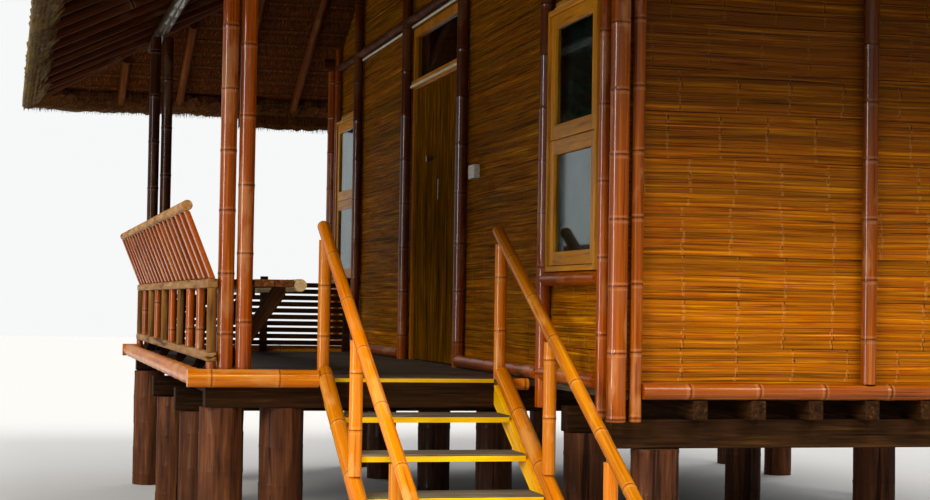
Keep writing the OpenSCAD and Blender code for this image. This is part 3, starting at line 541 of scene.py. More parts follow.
round_at = add(pole_tree, "ShaderNodeSeparateXYZ", Vector=read(pole_tree, "round", "FLOAT_VECTOR"))
size = read(pole_tree, "pole_radius")
far = sums(pole_tree, "MULTIPLY_ADD", read(pole_tree, "tone"), 23.0, read(pole_tree, "along"))
local = add(pole_tree, "ShaderNodeCombineXYZ", X=sums(pole_tree, "MULTIPLY", round_at.outputs[0], size),
            Y=sums(pole_tree, "MULTIPLY", round_at.outputs[1], size), Z=far)
grained = store(pole_tree, swept.outputs[0], "grain", local.outputs[0], "FLOAT_VECTOR")
bumps = add(pole_tree, "ShaderNodeTexNoise", Vector=read(pole_tree, "grain", "FLOAT_VECTOR"),
            Scale=given.outputs["Wobble Scale"], Detail=2.0)
push = sums(pole_tree, "MULTIPLY", sums(pole_tree, "SUBTRACT", bumps.outputs[0], 0.75),
            given.outputs["Wobble"])
normal = add(pole_tree, "GeometryNodeInputNormal")
offset = add(pole_tree, "ShaderNodeVectorMath", {"operation": "SCALE"}, i0=normal.outputs[0], Scale=push)
uneven = add(pole_tree, "GeometryNodeSetPosition", Geometry=grained, Offset=offset.outputs[0])
smooth = add(pole_tree, "GeometryNodeSetShadeSmooth", i0=uneven.outputs[0])
kept = smooth
for spare in ("round", "along"):
    kept = add(pole_tree, "GeometryNodeRemoveAttribute", Geometry=kept.outputs[0], Name=spare)
real = add(pole_tree, "GeometryNodeRealizeInstances", Geometry=kept.outputs[0])
coat(pole_tree, real.outputs[0], given, result)

# %% [markdown]
# The joints of a culm are spaced nearly evenly. Where the photograph shows them on a post,
# the height of one joint and the spacing are given, and elsewhere they start at random.

# %% Poles
# Distance from a joint, and how much of a joint is there
RING_STEPS = ((-0.026, 0.12), (-0.007, 0.5), (0.0, 1.0), (0.007, 0.45), (0.022, 0.05))


def culm(dice, long, spacing, known=None):
    """Stops along one culm, each with how much of a joint it is. known: (place of a joint, spacing)."""
    gap = spacing * dice.uniform(0.92, 1.08)
    joint = dice.uniform(0.2, 1.0) * gap
    if known:
        joint, gap = known[0] % known[1], known[1]
    stops = [(0.0, 0.0)]
    while joint < long + gap:
        near = [(joint + shift, value) for shift, value in RING_STEPS]
        stops += [stop for stop in near if 0.002 < stop[0] < long - 0.002]
        joint += gap * dice.uniform(0.97, 1.03)
    return stops + [(long, 0.0)]


def poles(name, lines, material, spacing=0.33, sides=14, waist=0.055, wobble=0.0, lumps=8.0, seed=1,
          known=None, bow=0.0):
    """lines: (start, end, radius) of each pole. known: what is known of its joints, by its number.
    bow: how far its middle bends aside. wobble: how far its skin goes in and out."""
    dice = random.Random(seed)
    points, edges, radius, ring, tone = [], [], [], [], []
    for number, (start, end, r) in enumerate(lines):
        start, end = Vector(start), Vector(end)
        long = (end - start).length
        stops = culm(dice, long, spacing, (known or {}).get(number))
        aside = (end - start).cross(Vector([dice.uniform(-1, 1) for _ in range(3)])).normalized()
        shade = dice.random()
        edges += [(len(points) + i, len(points) + i + 1) for i in range(len(stops) - 1)]
        points += [start.lerp(end, s / long) + aside * bow * math.sin(math.pi * s / long)
                   for s, value in stops]
        radius += [r] * len(stops)
        ring += [value for s, value in stops]
        tone += [shade] * len(stops)
    mesh = bpy.data.meshes.new(name)
    mesh.from_pydata(points, edges, [])
    mark(mesh, pole_radius=radius, ring=ring, tone=tone)
    return grow(set_out(name, mesh), pole_tree, Sides=sides, Waist=waist, Wobble=wobble,
                Wobble_Scale=lumps, Material=material)


trial = culm(random.Random(1), 3.0, 0.33)
print("a culm of 3 m has", sum(value == 1.0 for s, value in trial), "joints and", len(trial), "stops")

# %% [markdown]
# A finished piece rides on a body and stands for the CAD nodes that it replaces. Several
# pieces that stand for one node are joined first.

# %% Fixing finished pieces


def install(piece, body, slot, *nodes):
    """Fixes a finished piece to a body, instead of the CAD nodes that it stands for."""
    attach(piece, body)
    if nodes:
        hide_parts(*nodes)
    piece.data.calc_loop_triangles()
    print(piece.name, len(piece.data.loop_triangles), "triangles")


def sheltered(piece, share, low=1.4, high=3.0):
    """Marks painted shade of the eaves on each point of a piece, growing between two heights."""
    place = np.empty(len(piece.data.vertices) * 3)
    piece.data.vertices.foreach_get("co", place)
    mark(piece.data, shelter=np.clip((place[2::3] - low) / (high - low), 0, 1) * share)
    return piece


def joined(name, pieces):
    """Several finished pieces as one, with their attributes."""
    keep = pieces[0]
    with bpy.context.temp_override(active_object=keep, selected_editable_objects=pieces,
                                   selected_objects=pieces):
        bpy.ops.object.join()
    keep.name = keep.data.name = name
    return keep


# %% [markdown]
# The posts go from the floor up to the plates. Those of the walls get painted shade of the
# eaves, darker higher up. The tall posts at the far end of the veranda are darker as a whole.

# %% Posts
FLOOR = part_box("house_floor")[1].z


def known_joints(lines, wanted):
    """Turns (x, y, height of a joint, spacing) into the known joints of the pole nearest to x, y."""
    known = {}
    for x, y, z, gap in wanted:
        i = min(range(len(lines)), key=lambda k: math.hypot(lines[k][0][0] - x, lines[k][0][1] - y))
        known[i] = (z + FLOOR - lines[i][0][2], gap)
    return known


corner_x, corner_y = min(rods("corner_posts"), key=lambda rod: rod[0][0] + rod[0][1])[0][:2]
for node, spacing, sides, seed, wanted, shelter in (
    ("corner_posts", 0.33, 24, 3, [(corner_x, corner_y, 0.198, 0.335)], (0.35,)),
    ("flank_posts", 0.36, 20, 5, [(corner_x, corner_y + 0.24, 0.276, 0.39),
                                  (corner_x + 0.1, corner_y, 0.541, 0.335)], (0.4,)),
    ("wall_posts", 0.33, 18, 7, [(corner_x, corner_y + 1.25, 0.960, 0.306)], (0.95, 1.0, 2.9)),
):
    lines = rods(node)
    posts = poles(node + "_bamboo", lines, brown_bamboo, spacing, sides, seed=seed,
                  known=known_joints(lines, wanted))
    install(sheltered(posts, *shelter), "house", "brown_bamboo", node)

lines = rods("veranda_posts")
near_lines = [rod for rod in lines if rod[0][1] < 0]
outer_x, inner_x = sorted(rod[0][0] for rod in near_lines)
near_y = near_lines[0][0][1]
near_posts = poles("near_posts", near_lines, brown_bamboo, 0.38, 18, seed=9, known=known_joints(
    near_lines, [(outer_x, near_y, 1.967, 0.345), (inner_x, near_y, 1.87, 0.39)]))
far_posts = poles("far_posts", [rod for rod in lines if rod[0][1] > 0], dark_bamboo, 0.38, 18, seed=10)
install(joined("veranda_posts_bamboo", [near_posts, far_posts]), "house", "brown_bamboo", "veranda_posts")

# %% [markdown]
# The rails, plates, sills, newels, handrails and rafters differ only in their finish, the
# spacing of their joints and how many sides they need. Those of the roof are thin and in
# deep shade, so few sides will do.

# %% Rails, plates, sills, stair and roof poles
for node, slot, finish, spacing, sides in (
    ("base_rails", "brown_bamboo", brown_bamboo, 0.36, 16),
    ("wall_rails", "brown_bamboo", eave_bamboo, 0.36, 12),
    # The plate gets the grey bamboo of painted highlight
    ("veranda_plate", "brown_bamboo", grey_bamboo, 0.42, 16),
    ("window_sills", "brown_bamboo", brown_bamboo, 0.3, 18),
    ("floor_edges", "orange_bamboo", orange_bamboo, 0.38, 18),
    ("stair_side_bamboos", "orange_bamboo", orange_bamboo, 0.46, 18),
    ("newels", "orange_bamboo", orange_bamboo, 0.3, 18),
    ("handrails", "orange_bamboo", orange_bamboo, 0.48, 18),
    # The poles of the roof get the dark copy of painted shade, the far rafters the lighter one of painted
    # light
    ("hip_poles", "brown_bamboo", eave_bamboo, 3.5, 12),
    ("front_rafters", "brown_bamboo", eave_bamboo, 3.5, 10),
    ("back_rafters", "brown_bamboo", eave_bamboo, 3.5, 10),
    ("near_rafters", "brown_bamboo", eave_bamboo, 3.5, 10),
    ("far_rafters", "brown_bamboo", rafter_bamboo, 3.5, 10),
):
    install(poles(node + "_round", rods(node), finish, spacing, sides, seed=len(node) + 11), "house", slot,
            node)

# %% [markdown]
# Some balusters kept their varnish and the others have gone grey, in an uneven order. The
# plates on the end and back walls are one solid in the frame, so their lines come from the
# walls below them. The piers are rough trunks, which the same tree makes uneven.

# %% Balusters, wall plates and piers
bars = rods("balusters")
bright = [bar for i, bar in enumerate(bars) if i % 7 in (0, 2, 3, 5)]
dull = [bar for i, bar in enumerate(bars) if i % 7 in (1, 4, 6)]
install(joined("baluster_rods", [poles("bright", bright, brown_bamboo, 0.3, 14, 0.04, seed=19),
                                 poles("dull", dull, worn_wood, 0.3, 14, 0.04, seed=20)]),
        "house", "weathered_wood", "balusters")

# What is wider than a plate is the joined solid
WIDEST_PLATE = 0.1
plate_lines = [rod for rod in rods("wall_plates") if rod[2] < WIDEST_PLATE]
plate_r = plate_lines[0][2]
plates_low, plates_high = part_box("wall_plates")
plate_z = min(corners[:, 2].min() for corners, faces in solids("wall_plates")) + plate_r
for wall in ("near_side_wall", "far_side_wall"):
    y = (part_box(wall)[0].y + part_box(wall)[1].y) / 2
    plate_lines.append(((plates_low.x, y, plate_z), (plates_high.x, y, plate_z), plate_r))
back_x = (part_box("back_wall")[0].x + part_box("back_wall")[1].x) / 2
plate_lines.append(((back_x, plates_low.y, plate_z), (back_x, plates_high.y, plate_z), plate_r))
install(poles("wall_plates_round", plate_lines, eave_bamboo, 0.4, 14, seed=21), "house", "brown_bamboo",
        "wall_plates")

for node in ("veranda_piers", "front_piers", "middle_piers", "back_piers"):
    install(poles(node + "_timber", rods(node), pier_timber, spacing=0.22, sides=28, waist=0.02, wobble=0.012,
                  lumps=9.0, seed=len(node)), "house", "pier_timber", node)

# %% [markdown]
# ## Sawn pieces
# Beams, joists, strings and frames keep the exact shape of their CAD solids. A copy of each
# solid gets eased edges, because no sawn edge is perfectly sharp, and its own grain and tone.

# %% Eased copies of CAD solids
SHARP = 0.35


def ease_edges(bm, width, steps=2):
    """Rounds the edges where two faces turn by more than SHARP, in radians."""
    sharp = [e for e in bm.edges if len(e.link_faces) == 2 and e.calc_face_angle(0) > SHARP]
    bmesh.ops.bevel(bm, geom=sharp, offset=width, offset_type="OFFSET", segments=steps, profile=0.55,
                    affect="EDGES", clamp_overlap=True)


def eased(name, material, *nodes, ease=0.003, steps=2, seed=1, shapes=None):
    """One piece with eased copies of all solids of some nodes, or of the shapes given."""
    dice = random.Random(seed)
    points, faces, grain, tone = [], [], [], []
    for corners, sides in shapes or [solid for node in nodes for solid in solids(node)]:
        bm = bmesh.new()
        made = [bm.verts.new(c) for c in corners]
        for side in sides:
            bm.faces.new([made[i] for i in side])
        bmesh.ops.dissolve_limit(bm, angle_limit=0.01, verts=bm.verts, edges=bm.edges)
        ease_edges(bm, ease, steps)
        bm.verts.index_update()
        place = np.array([v.co for v in bm.verts])
        axes = np.linalg.svd(corners - corners.mean(0), full_matrices=False)[2]
        local = (place - place.mean(0)) @ axes.T
        shift = np.array([dice.uniform(-9, 9) for _ in range(3)])
        grain.append(local[:, [2, 1, 0]] + shift)
        tone.append(np.full(len(place), dice.random()))
        start = len(points)
        points += [tuple(c) for c in place]
        faces += [[start + v.index for v in f.verts] for f in bm.faces]
        bm.free()
    piece = plain_mesh(name, points, faces, material)
    mark(piece.data, grain=np.concatenate(grain), tone=np.concatenate(tone))
    return piece


def block(low, high):
    """A plain board between two corners, as corner points and faces."""
    corners = np.array([(x, y, z) for x in (low[0], high[0]) for y in (low[1], high[1])
                        for z in (low[2], high[2])])
    return corners, [[0, 1, 3, 2], [4, 6, 7, 5], [0, 4, 5, 1], [2, 3, 7, 6], [0, 2, 6, 4], [1, 5, 7, 3]]


print("a block has", len(block((0, 0, 0), (1, 1, 1))[0]), "corners")

# %% [markdown]
# Rough outdoor timber gets wider eased edges than the frames of doors and windows, and the
# grey rails of the veranda are worn nearly round.

# %% Sawn pieces
for node, slot, finish, ease in (
    ("floor_beams", "frame_timber", frame_timber, 0.006),
    ("house_joists", "frame_timber", frame_timber, 0.005),
    ("veranda_joists", "frame_timber", frame_timber, 0.005),
    ("bench_brackets", "frame_timber", frame_timber, 0.004),
    ("railing_rails", "weathered_wood", rail_wood, 0.012),
    ("backrest_slats", "brown_bamboo", brown_bamboo, 0.006),
    ("end_railing", "frame_timber", frame_timber, 0.003),
    ("stair_stringers", "yellow_paint", string_paint, 0.004),
    ("door_frame", "golden_wood", golden_wood, 0.003),
):
    install(eased(node + "_sawn", finish, node, ease=ease, seed=len(node)), "house", slot, node)

# %% [markdown]
# Over each window and the door lies a thin pale lath on a board. The CAD strip is both
# together, so it is divided at the back of the lath, which is on the outer side of the wall.

# %% Head laths
LATH_THICK, LATH_LOW, LATH_HIGH = 0.008, 0.006, 0.024
laths, backings = [], []
for corners, faces in solids("head_strips"):
    (x0, y0, z0), (x1, y1, z1) = corners.min(0), corners.max(0)
    cut = x0 + LATH_THICK if x0 < 0 else x1 - LATH_THICK
    front, behind = ((x0, cut), (cut, x1)) if x0 < 0 else ((cut, x1), (x0, cut))
    laths.append(block((front[0], y0, z0 + LATH_LOW), (front[1], y1, z0 + LATH_HIGH)))
    backings.append(block((behind[0], y0, z0), (behind[1], y1, z1)))
install(joined("head_laths", [eased("laths", pale_strip, shapes=laths, ease=0.002, seed=14),
                              eased("behind", window_wood, shapes=backings, ease=0.002, seed=15)]),
        "house", "pale_strip", "head_strips")

# %% [markdown]
# ## Rows of boards
# Floors, treads, the bench seat and the doors are rows of equal boards. A second tree lays a
# row of them, each a little out of place and with a tone of its own.

# %% Board tree


def alike(tree, value):
    """A vector with the same value three times."""
    return add(tree, "ShaderNodeCombineXYZ", X=value, Y=value, Z=value).outputs[0]


def real_copies(tree, copies, seed, given, result, unit=(1.0, 1.0, 1.0)):
    """Ends a tree of copies: each gets a tone of its own, its grain in metres, and the material."""
    shade = add(tree, "FunctionNodeRandomValue", {"data_type": "FLOAT"}, Seed=seed)
    toned = store(tree, copies, "tone", shade.outputs[1], domain="INSTANCE")
    real = add(tree, "GeometryNodeRealizeInstances", Geometry=toned)
    apart = add(tree, "ShaderNodeVectorMath", {"operation": "MULTIPLY_ADD"},
                i0=read(tree, "grain", "FLOAT_VECTOR"), i1=unit,
                i2=alike(tree, sums(tree, "MULTIPLY", read(tree, "tone"), 31.0)))
    coat(tree, store(tree, real.outputs[0], "grain", apart.outputs[0], "FLOAT_VECTOR"), given, result)


board_tree, given, result = new_tree("boards", Count="Int", Size="Vector", Start="Vector", Step="Vector",
                                     Jitter="Vector", Grain_Turn="Vector", Seed="Int", Material="Material")
row = add(board_tree, "GeometryNodeMeshLine", {"mode": "OFFSET"}, Count=given.outputs["Count"],
          Start_Location=given.outputs["Start"], Offset=given.outputs["Step"])
back = add(board_tree, "ShaderNodeVectorMath", {"operation": "SCALE"}, i0=given.outputs["Jitter"], Scale=-1.0)
shake = add(board_tree, "FunctionNodeRandomValue", {"data_type": "FLOAT_VECTOR"}, i0=back.outputs[0],
            i1=given.outputs["Jitter"], Seed=given.outputs["Seed"])
moved = add(board_tree, "GeometryNodeSetPosition", Geometry=row.outputs[0], Offset=shake.outputs[0])
cube = add(board_tree, "GeometryNodeMeshCube", Size=given.outputs["Size"])
at = add(board_tree, "GeometryNodeInputPosition")
turned = add(board_tree, "ShaderNodeVectorRotate", {"rotation_type": "EULER_XYZ"}, Vector=at.outputs[0],
             Rotation=given.outputs["Grain Turn"])
single = store(board_tree, cube.outputs["Mesh"], "grain", turned.outputs[0], "FLOAT_VECTOR")
laid = add(board_tree, "GeometryNodeInstanceOnPoints", Points=moved.outputs[0], Instance=single)
real_copies(board_tree, laid.outputs[0], given.outputs["Seed"], given, result)

# %% [markdown]
# The edges of the boards are eased afterwards, on the finished mesh. The fibres run along the
# longer side of a board, unless another axis is given.

# %% Boards
# How far the fibres, which run along the third axis, turn to follow each axis
GRAIN_TURN = {0: (0.0, -math.pi / 2, 0.0), 1: (math.pi / 2, 0.0, 0.0), 2: (0.0, 0.0, 0.0)}


@contextmanager
def opened(piece):
    """Opens the mesh of a piece for changes and writes it back afterwards."""
    bm = bmesh.new()
    bm.from_mesh(piece.data)
    yield bm
    bm.to_mesh(piece.data)
    bm.free()


def boards(name, material, low, high, across, width, gap=0.0, jitter=(0, 0, 0), ease=0.002, seed=1,
           grain=None):
    """Fills the box between two corners with boards side by side along the axis across."""
    low, high = Vector(low), Vector(high)
    count = max(1, round((high[across] - low[across] + gap) / (width + gap)))
    pitch = (high[across] - low[across] + gap) / count
    size = high - low
    size[across] = pitch - gap
    start = (low + high) / 2
    start[across] = low[across] + size[across] / 2
    step = Vector((0, 0, 0))
    step[across] = pitch
    if grain is None:
        grain = max((i for i in range(3) if i != across), key=lambda i: size[i])
    piece = grow(set_out(name, bpy.data.meshes.new(name)), board_tree, Count=count, Size=tuple(size),
                 Start=tuple(start), Step=tuple(step), Jitter=tuple(float(j) for j in jitter),
                 Grain_Turn=GRAIN_TURN[grain], Seed=seed, Material=material)
    with opened(piece) as bm:
        ease_edges(bm, ease)
    return piece


low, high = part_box("veranda_floor")
install(boards("veranda_floor_boards", floor_timber, low, high, 1, 0.11, 0.004, (0, 0, 0.001), seed=3),
        "house", "floor_boards", "veranda_floor")
low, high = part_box("house_floor")
install(boards("house_floor_boards", floor_timber, low, high, 0, 0.12, 0.002, (0, 0, 0.0006), seed=4),
        "house", "floor_boards", "house_floor")

# %% [markdown]
# The treads are grey boards with a painted yellow strip along the lower part of the front
# edge. The front edge of the veranda floor over the stair has such a strip too.

# %% Stair treads
STRIP, PAINTED, TREAD_BOARD = 0.007, 0.028, 0.13
treads, edges = [], []
for i, (corners, faces) in enumerate(solids("stair_treads")):
    (x0, y0, z0), (x1, y1, z1) = corners.min(0), corners.max(0)
    treads.append(boards("tread", tread_timber, (x0, y0 + STRIP, z0), (x1, y1, z1), 1, TREAD_BOARD, 0.005,
                         (0, 0, 0.0008), 0.003, seed=i + 2, grain=0))
    edges.append(block((x0, y0 - 0.0015, z0 - 0.001), (x1, y0 + STRIP, z0 + PAINTED)))
    treads.append(boards("tread", tread_timber, (x0, y0 - 0.0005, z0 + PAINTED), (x1, y0 + STRIP, z1), 1,
                         TREAD_BOARD, seed=i + 22, grain=0))
install(joined("tread_boards", treads), "house", "floor_boards", "stair_treads")

low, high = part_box("veranda_floor")
left, right_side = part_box("stair_treads")[0].x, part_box("stair_treads")[1].x
edges.append(block((left, low.y - 0.005, high.z - 0.02), (right_side, low.y + 0.012, high.z + 0.0015)))
# Below the strip a dark board covers the floor's front face: painted shadow under the edge
shadow_below_strip = block((left, low.y - 0.004, low.z), (right_side, low.y + 0.01, high.z - 0.021))
install(eased("floor_front_edge", frame_timber, shapes=[shadow_below_strip], ease=0.001, seed=8), "house",
        "frame_timber")
install(eased("tread_edges_painted", yellow_paint, shapes=edges, ease=0.001, seed=6), "house", "yellow_paint")

# %% [markdown]
# The bench seat is a row of long boards behind a round, unvarnished log. The boards between
# the tall posts are shorter, so that they end clear of them.

# %% Bench seat
LOG_R, SEAT_THICK, LOG_PROUD = 0.038, 0.04, 0.008
low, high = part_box("bench_seat")
seat_top = max(corners[:, 2].max() for corners, faces in solids("bench_seat")) - LOG_PROUD
seat_end = high.x - 2 * LOG_R + 0.002
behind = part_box("veranda_posts")[1].x + 0.002
seat = [boards("seat", seat_wood, (x0, y0, seat_top - SEAT_THICK), (x1, y1, seat_top), 0, 0.11, 0.005,
               (0, 0, 0.001), 0.003, seed, 1)
        for x0, y0, x1, y1, seed in ((low.x, low.y + 0.1, behind, high.y - 0.1, 5),
                                     (behind + 0.004, low.y, seat_end, high.y, 8))]
log_x, log_z = high.x - LOG_R, seat_top + LOG_PROUD - LOG_R
log = poles("log", [((log_x, low.y, log_z), (log_x, high.y, log_z), LOG_R)], pale_bamboo, 0.4, 16,
            wobble=0.003, seed=31)
install(joined("bench_seat_boards", seat + [log]), "house", "weathered_wood", "bench_seat")

# %% [markdown]
# Each door leaf is a row of upright planks, laid side by side without a gap. It rides on its
# own body, so it swings with its hinge.

# %% Door leaves
for side in ("left", "right"):
    low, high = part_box(side + "_door_leaf")
    leaf = boards(side + "_door_planks", door_wood, low, high, 1, 0.15, 0.0, (0.0006, 0, 0),
                  seed=12 + len(side))
    install(leaf, side + "_leaf", "golden_wood", side + "_door_leaf")

# %% [markdown]
# ## Walls of flattened bamboo
# A culm is split and rolled out flat, so each board is a strip of narrow splints with cracks
# between them, and the joints of the culm cross the whole board as low ridges. The relief is
# real geometry: one grid for each board, closed behind by a flat face.

# %% Grids


def grid(wide, tall, start=0):
    """The faces between the points of a grid that lie row after row."""
    corners = [start + r * wide + c for r in range(tall - 1) for c in range(wide - 1)]
    return [(i, i + 1, i + wide + 1, i + wide) for i in corners]


def rim_of(wide, tall):
    """Column and row of the outer points of a grid, once around."""
    return ([(c, 0) for c in range(wide)] + [(wide - 1, r) for r in range(1, tall)]
            + [(c, tall - 1) for c in range(wide - 2, -1, -1)] + [(0, r) for r in range(tall - 2, 0, -1)])


print("a grid of 3 by 3 points:", len(grid(3, 3)), "faces,", len(rim_of(3, 3)), "points on the rim")

# %% [markdown]
# A board is laid out as columns, close together at each joint of the culm, and as rows, three
# for each splint: down in the crack, up on its lower edge and along its upper edge. Every
# board draws its own widths, cracks and tone from the dice of its wall.

# %% Board walls
SPLINT, BOARD, NARROWEST, RAGGED = 0.021, 0.235, 0.005, 0.12
CRACK_DEPTH, RIDGE, WAVE = 0.006, 0.0025, 0.0025
# Distance from a joint, and how much of its ridge is there
JOINT_STEPS = ((-0.013, 0), (-0.004, 0.5), (0.004, 1), (0.011, 0))
JOINT_CLEAR, JOINT_PITCH = 0.025, (0.26, 0.31)


class Wall:
    """Collects the boards of one wall. place(a, n, z) turns along, outward and up into a point."""

    def __init__(self, place, seed, splint=SPLINT):
        self.place, self.dice, self.splint = place, random.Random(seed), splint
        self.points, self.faces, self.grain, self.tone, self.ring = [], [], [], [], []

    def note(self, point, grain, tone, ring):
        """Adds one point with what it carries."""
        self.points.append(point)
        self.grain.append(grain)
        self.tone.append(tone)
        self.ring.append(ring)

    def rows(self, z0, z1):
        """Rows of points up a board: height, relief, tone, crack, slip aside and strength of the joints."""
        dice, rows, cuts = self.dice, [], [z0]
        shares = [dice.uniform(0.45, 1.6) for _ in range(max(1, round((z1 - z0) / self.splint)))]
        for share in shares:
            cuts.append(cuts[-1] + (z1 - z0) * share / sum(shares))
        for i, (low, high) in enumerate(zip(cuts, cuts[1:])):
            lift, own = dice.uniform(-0.0018, 0.0018), dice.random()
            slip, strong = dice.uniform(-0.008, 0.008), dice.random()
            crack = dice.random() ** 1.6 if i else 1.0
            rows += [(low, -0.002 - CRACK_DEPTH * crack, own, crack, 0, 0),
                     (low + 0.001 + 0.003 * crack, lift, own, 0, slip, strong),
                     (high - 0.0015, lift - 0.0006, own, 0, slip, strong)]
        return rows + [(z1, -0.002 - CRACK_DEPTH, 0.5, 1.0, 0, 0)]

    def board(self, a0, a1, z0, z1, depth, joints, shade):
        """One board, with the relief of its splints in front and flat behind."""
        dice, start = self.dice, len(self.points)
        inner = [joint for joint in joints if a0 + JOINT_CLEAR < joint < a1 - JOINT_CLEAR]
        columns = [(a0, 0)] + [(j + shift, value) for j in inner for shift, value in JOINT_STEPS] + [(a1, 0)]
        rows = self.rows(z0, z1)
        wide, tall = len(columns), len(rows)
        proud, shift = dice.uniform(-0.006, -0.003), dice.uniform(-20, 20)
        for z, relief, own, crack, slip, strong in rows:
            for c, (a, joint) in enumerate(columns):
                opened_by = dice.uniform(0.1, 1.0) if crack and z0 < z < z1 else 1.0
                n = proud + relief * opened_by + RIDGE * joint * strong + dice.uniform(-0.0005, 0.0005)
                wave = 0.0 if z in (z0, z1) else WAVE * math.sin(5 * a + shift)
                self.note(self.place(a + (0.0 if c in (0, wide - 1) else slip), n, z + wave),
                          (z - z0 + shift + own * 3, n, a + shift), 0.4 * shade + 1.2 * own - 0.3,
                          max(joint * strong, 0.95 * crack * opened_by))
        self.faces += grid(wide, tall, start)
        rim = rim_of(wide, tall)
        front, behind = [start + r * wide + c for c, r in rim], len(self.points)
        for c, r in rim:
            a, z = columns[c][0], rows[r][0]
            self.note(self.place(a, -depth, z), (z - z0 + shift, -depth, a + shift), shade, 0.0)
        for k in range(len(rim)):
            after = (k + 1) % len(rim)
            self.faces.append((front[after], front[k], behind + k, behind + after))
        self.faces.append(tuple(behind + k for k in range(len(rim) - 1, -1, -1)))

    def fill(self, a0, a1, z0, z1, depth, holes=()):
        """Boards from z0 to z1. holes: (a0, a1, z0, z1) of each window."""
        dice = self.dice
        stops = sorted({z0, z1, *(z for hole in holes for z in hole[2:] if z0 < z < z1)})
        for low, high in zip(stops, stops[1:]):
            count = max(1, round((high - low) / BOARD))
            cuts = [low + (high - low) * (i + (dice.uniform(-RAGGED, RAGGED) if 0 < i < count else 0)) / count
                    for i in range(count + 1)]
            for b0, b1 in zip(cuts, cuts[1:]):
                shade, pitch = dice.random(), dice.uniform(*JOINT_PITCH)
                first = a0 + dice.uniform(0, pitch)
                joints = [first + k * pitch + dice.uniform(-0.02, 0.02)
                          for k in range(int((a1 - first) / pitch) + 1)]
                ends = [a0]
                for hole in sorted(holes):
                    if hole[2] <= b0 + 1e-6 and hole[3] >= b1 - 1e-6:
                        ends += hole[:2]
                ends.append(a1)
                for p0, p1 in zip(ends[::2], ends[1::2]):
                    if p1 - p0 > NARROWEST:
                        self.board(p0, p1, b0, b1, depth, joints, shade)

    def finish(self, name, material, cuts=()):
        """Makes the piece. cuts: (point, normal) of planes that take off what is beyond them."""
        piece = plain_mesh(name, self.points, self.faces, material)
        mark(piece.data, grain=self.grain, tone=self.tone, ring=self.ring)
        with opened(piece) as bm:
            bmesh.ops.recalc_face_normals(bm, faces=bm.faces)
            for point, normal in cuts:
                cut = bmesh.ops.bisect_plane(bm, geom=bm.verts[:] + bm.edges[:] + bm.faces[:], dist=1e-6,
                                             plane_co=point, plane_no=normal, clear_outer=True)
                rim = [e for e in cut["geom_cut"] if isinstance(e, bmesh.types.BMEdge) and e.is_boundary]
                bmesh.ops.holes_fill(bm, edges=rim, sides=0)
        return piece


# %% [markdown]
# The end walls and the back wall are plain rectangles, the back wall with two windows. The
# boards of the back wall are out of sight of the photograph, so their splints are wider.

# %% End walls and back wall
wall_bamboo = bamboo("wall_bamboo", (84, 38, 0), (160, 88, 1), (222, 142, 8), gloss=0.1, wear=0.55,
                     patches=(150, 56, 1), sheen=0.04, fine=0.7)
# The end walls and the back wall get painted shade of the eaves, darker higher up
for name, sign in (("near_side_wall", -1), ("far_side_wall", 1)):
    low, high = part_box(name)
    outer = low.y if sign < 0 else high.y
    wall = Wall(lambda a, n, z, outer=outer, sign=sign: (a, outer + sign * n, z), 40 + sign)
    wall.fill(low.x, high.x, low.z, high.z, high.y - low.y)
    install(sheltered(wall.finish(name + "_boards", wall_bamboo), 0.9), "house", "bamboo_boards", name)


def hole_of(low, high):
    """Along and height limits of a window's opening in one of the long walls."""
    return (low[1], high[1], low[2], high[2])


window_boxes = [(corners.min(0), corners.max(0)) for corners, faces in solids("window_frames")]
low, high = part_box("back_wall")
wall = Wall(lambda a, n, z, outer=high.x: (outer + n, a, z), 51, 0.03)
wall.fill(low.y, high.y, low.z, high.z, high.x - low.x, [hole_of(*w) for w in window_boxes if w[0][0] > 0])
install(sheltered(wall.finish("back_wall_boards", wall_bamboo), 0.9), "house", "bamboo_boards", "back_wall")

# %% [markdown]
# The front wall stands under the slope of the end roofs, which cuts its upper corners off
# slantwise. The slant is read from the heights of the CAD wall at its two ends.

# %% Front wall
front_bamboo = bamboo("front_bamboo", (78, 42, 0), (164, 98, 1), (234, 163, 10), gloss=0.0, wear=0.5,
                      patches=(142, 58, 1), sheen=0.01, fine=0.7)
front_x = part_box("front_panels")[0].x
front_holes = [hole_of(*w) for w in window_boxes if w[0][0] < 0]
tops = {}
for corners, faces in solids("front_window_walls"):
    for end in (corners[:, 1].min(), corners[:, 1].max()):
        tops[round(float(end), 4)] = corners[np.abs(corners[:, 1] - end) < 1e-4][:, 2].max()
print("tops of the front wall", {y: round(float(z), 3) for y, z in tops.items()})
slants = []
for sign in (-1, 1):
    (inner, inner_z), (outer, outer_z) = sorted((abs(y), z) for y, z in tops.items() if y * sign > 0)[:2]
    slants.append((Vector((front_x, sign * inner, inner_z)),
                   Vector((0, sign * (inner_z - outer_z), outer - inner)).normalized()))

# The front wall gets a weaker painted shade of the eaves, darker higher up
for node, seed, cuts in (("front_window_walls", 60, slants), ("front_panels", 70, slants),
                         ("front_over_door", 80, ())):
    wall = Wall(lambda a, n, z: (front_x - n, a, z), seed)
    for corners, faces in solids(node):
        low, high = corners.min(0), corners.max(0)
        holes = [h for h in front_holes if low[1] < h[0] < high[1]] if node == "front_window_walls" else []
        wall.fill(low[1], high[1], low[2], high[2], high[0] - low[0], holes)
    install(sheltered(wall.finish(node + "_boards", front_bamboo, cuts), 0.6), "house", "bamboo_boards", node)

# %% [markdown]
# ## Windows, glass and small fittings
# Each window is a frame with two sashes one above the other. The CAD solid is the outline of
# both, so the sashes are built from separate stiles and rails, set back a little. Behind the
# groove between them, a bar of the frame stops the two sashes and the daylight.

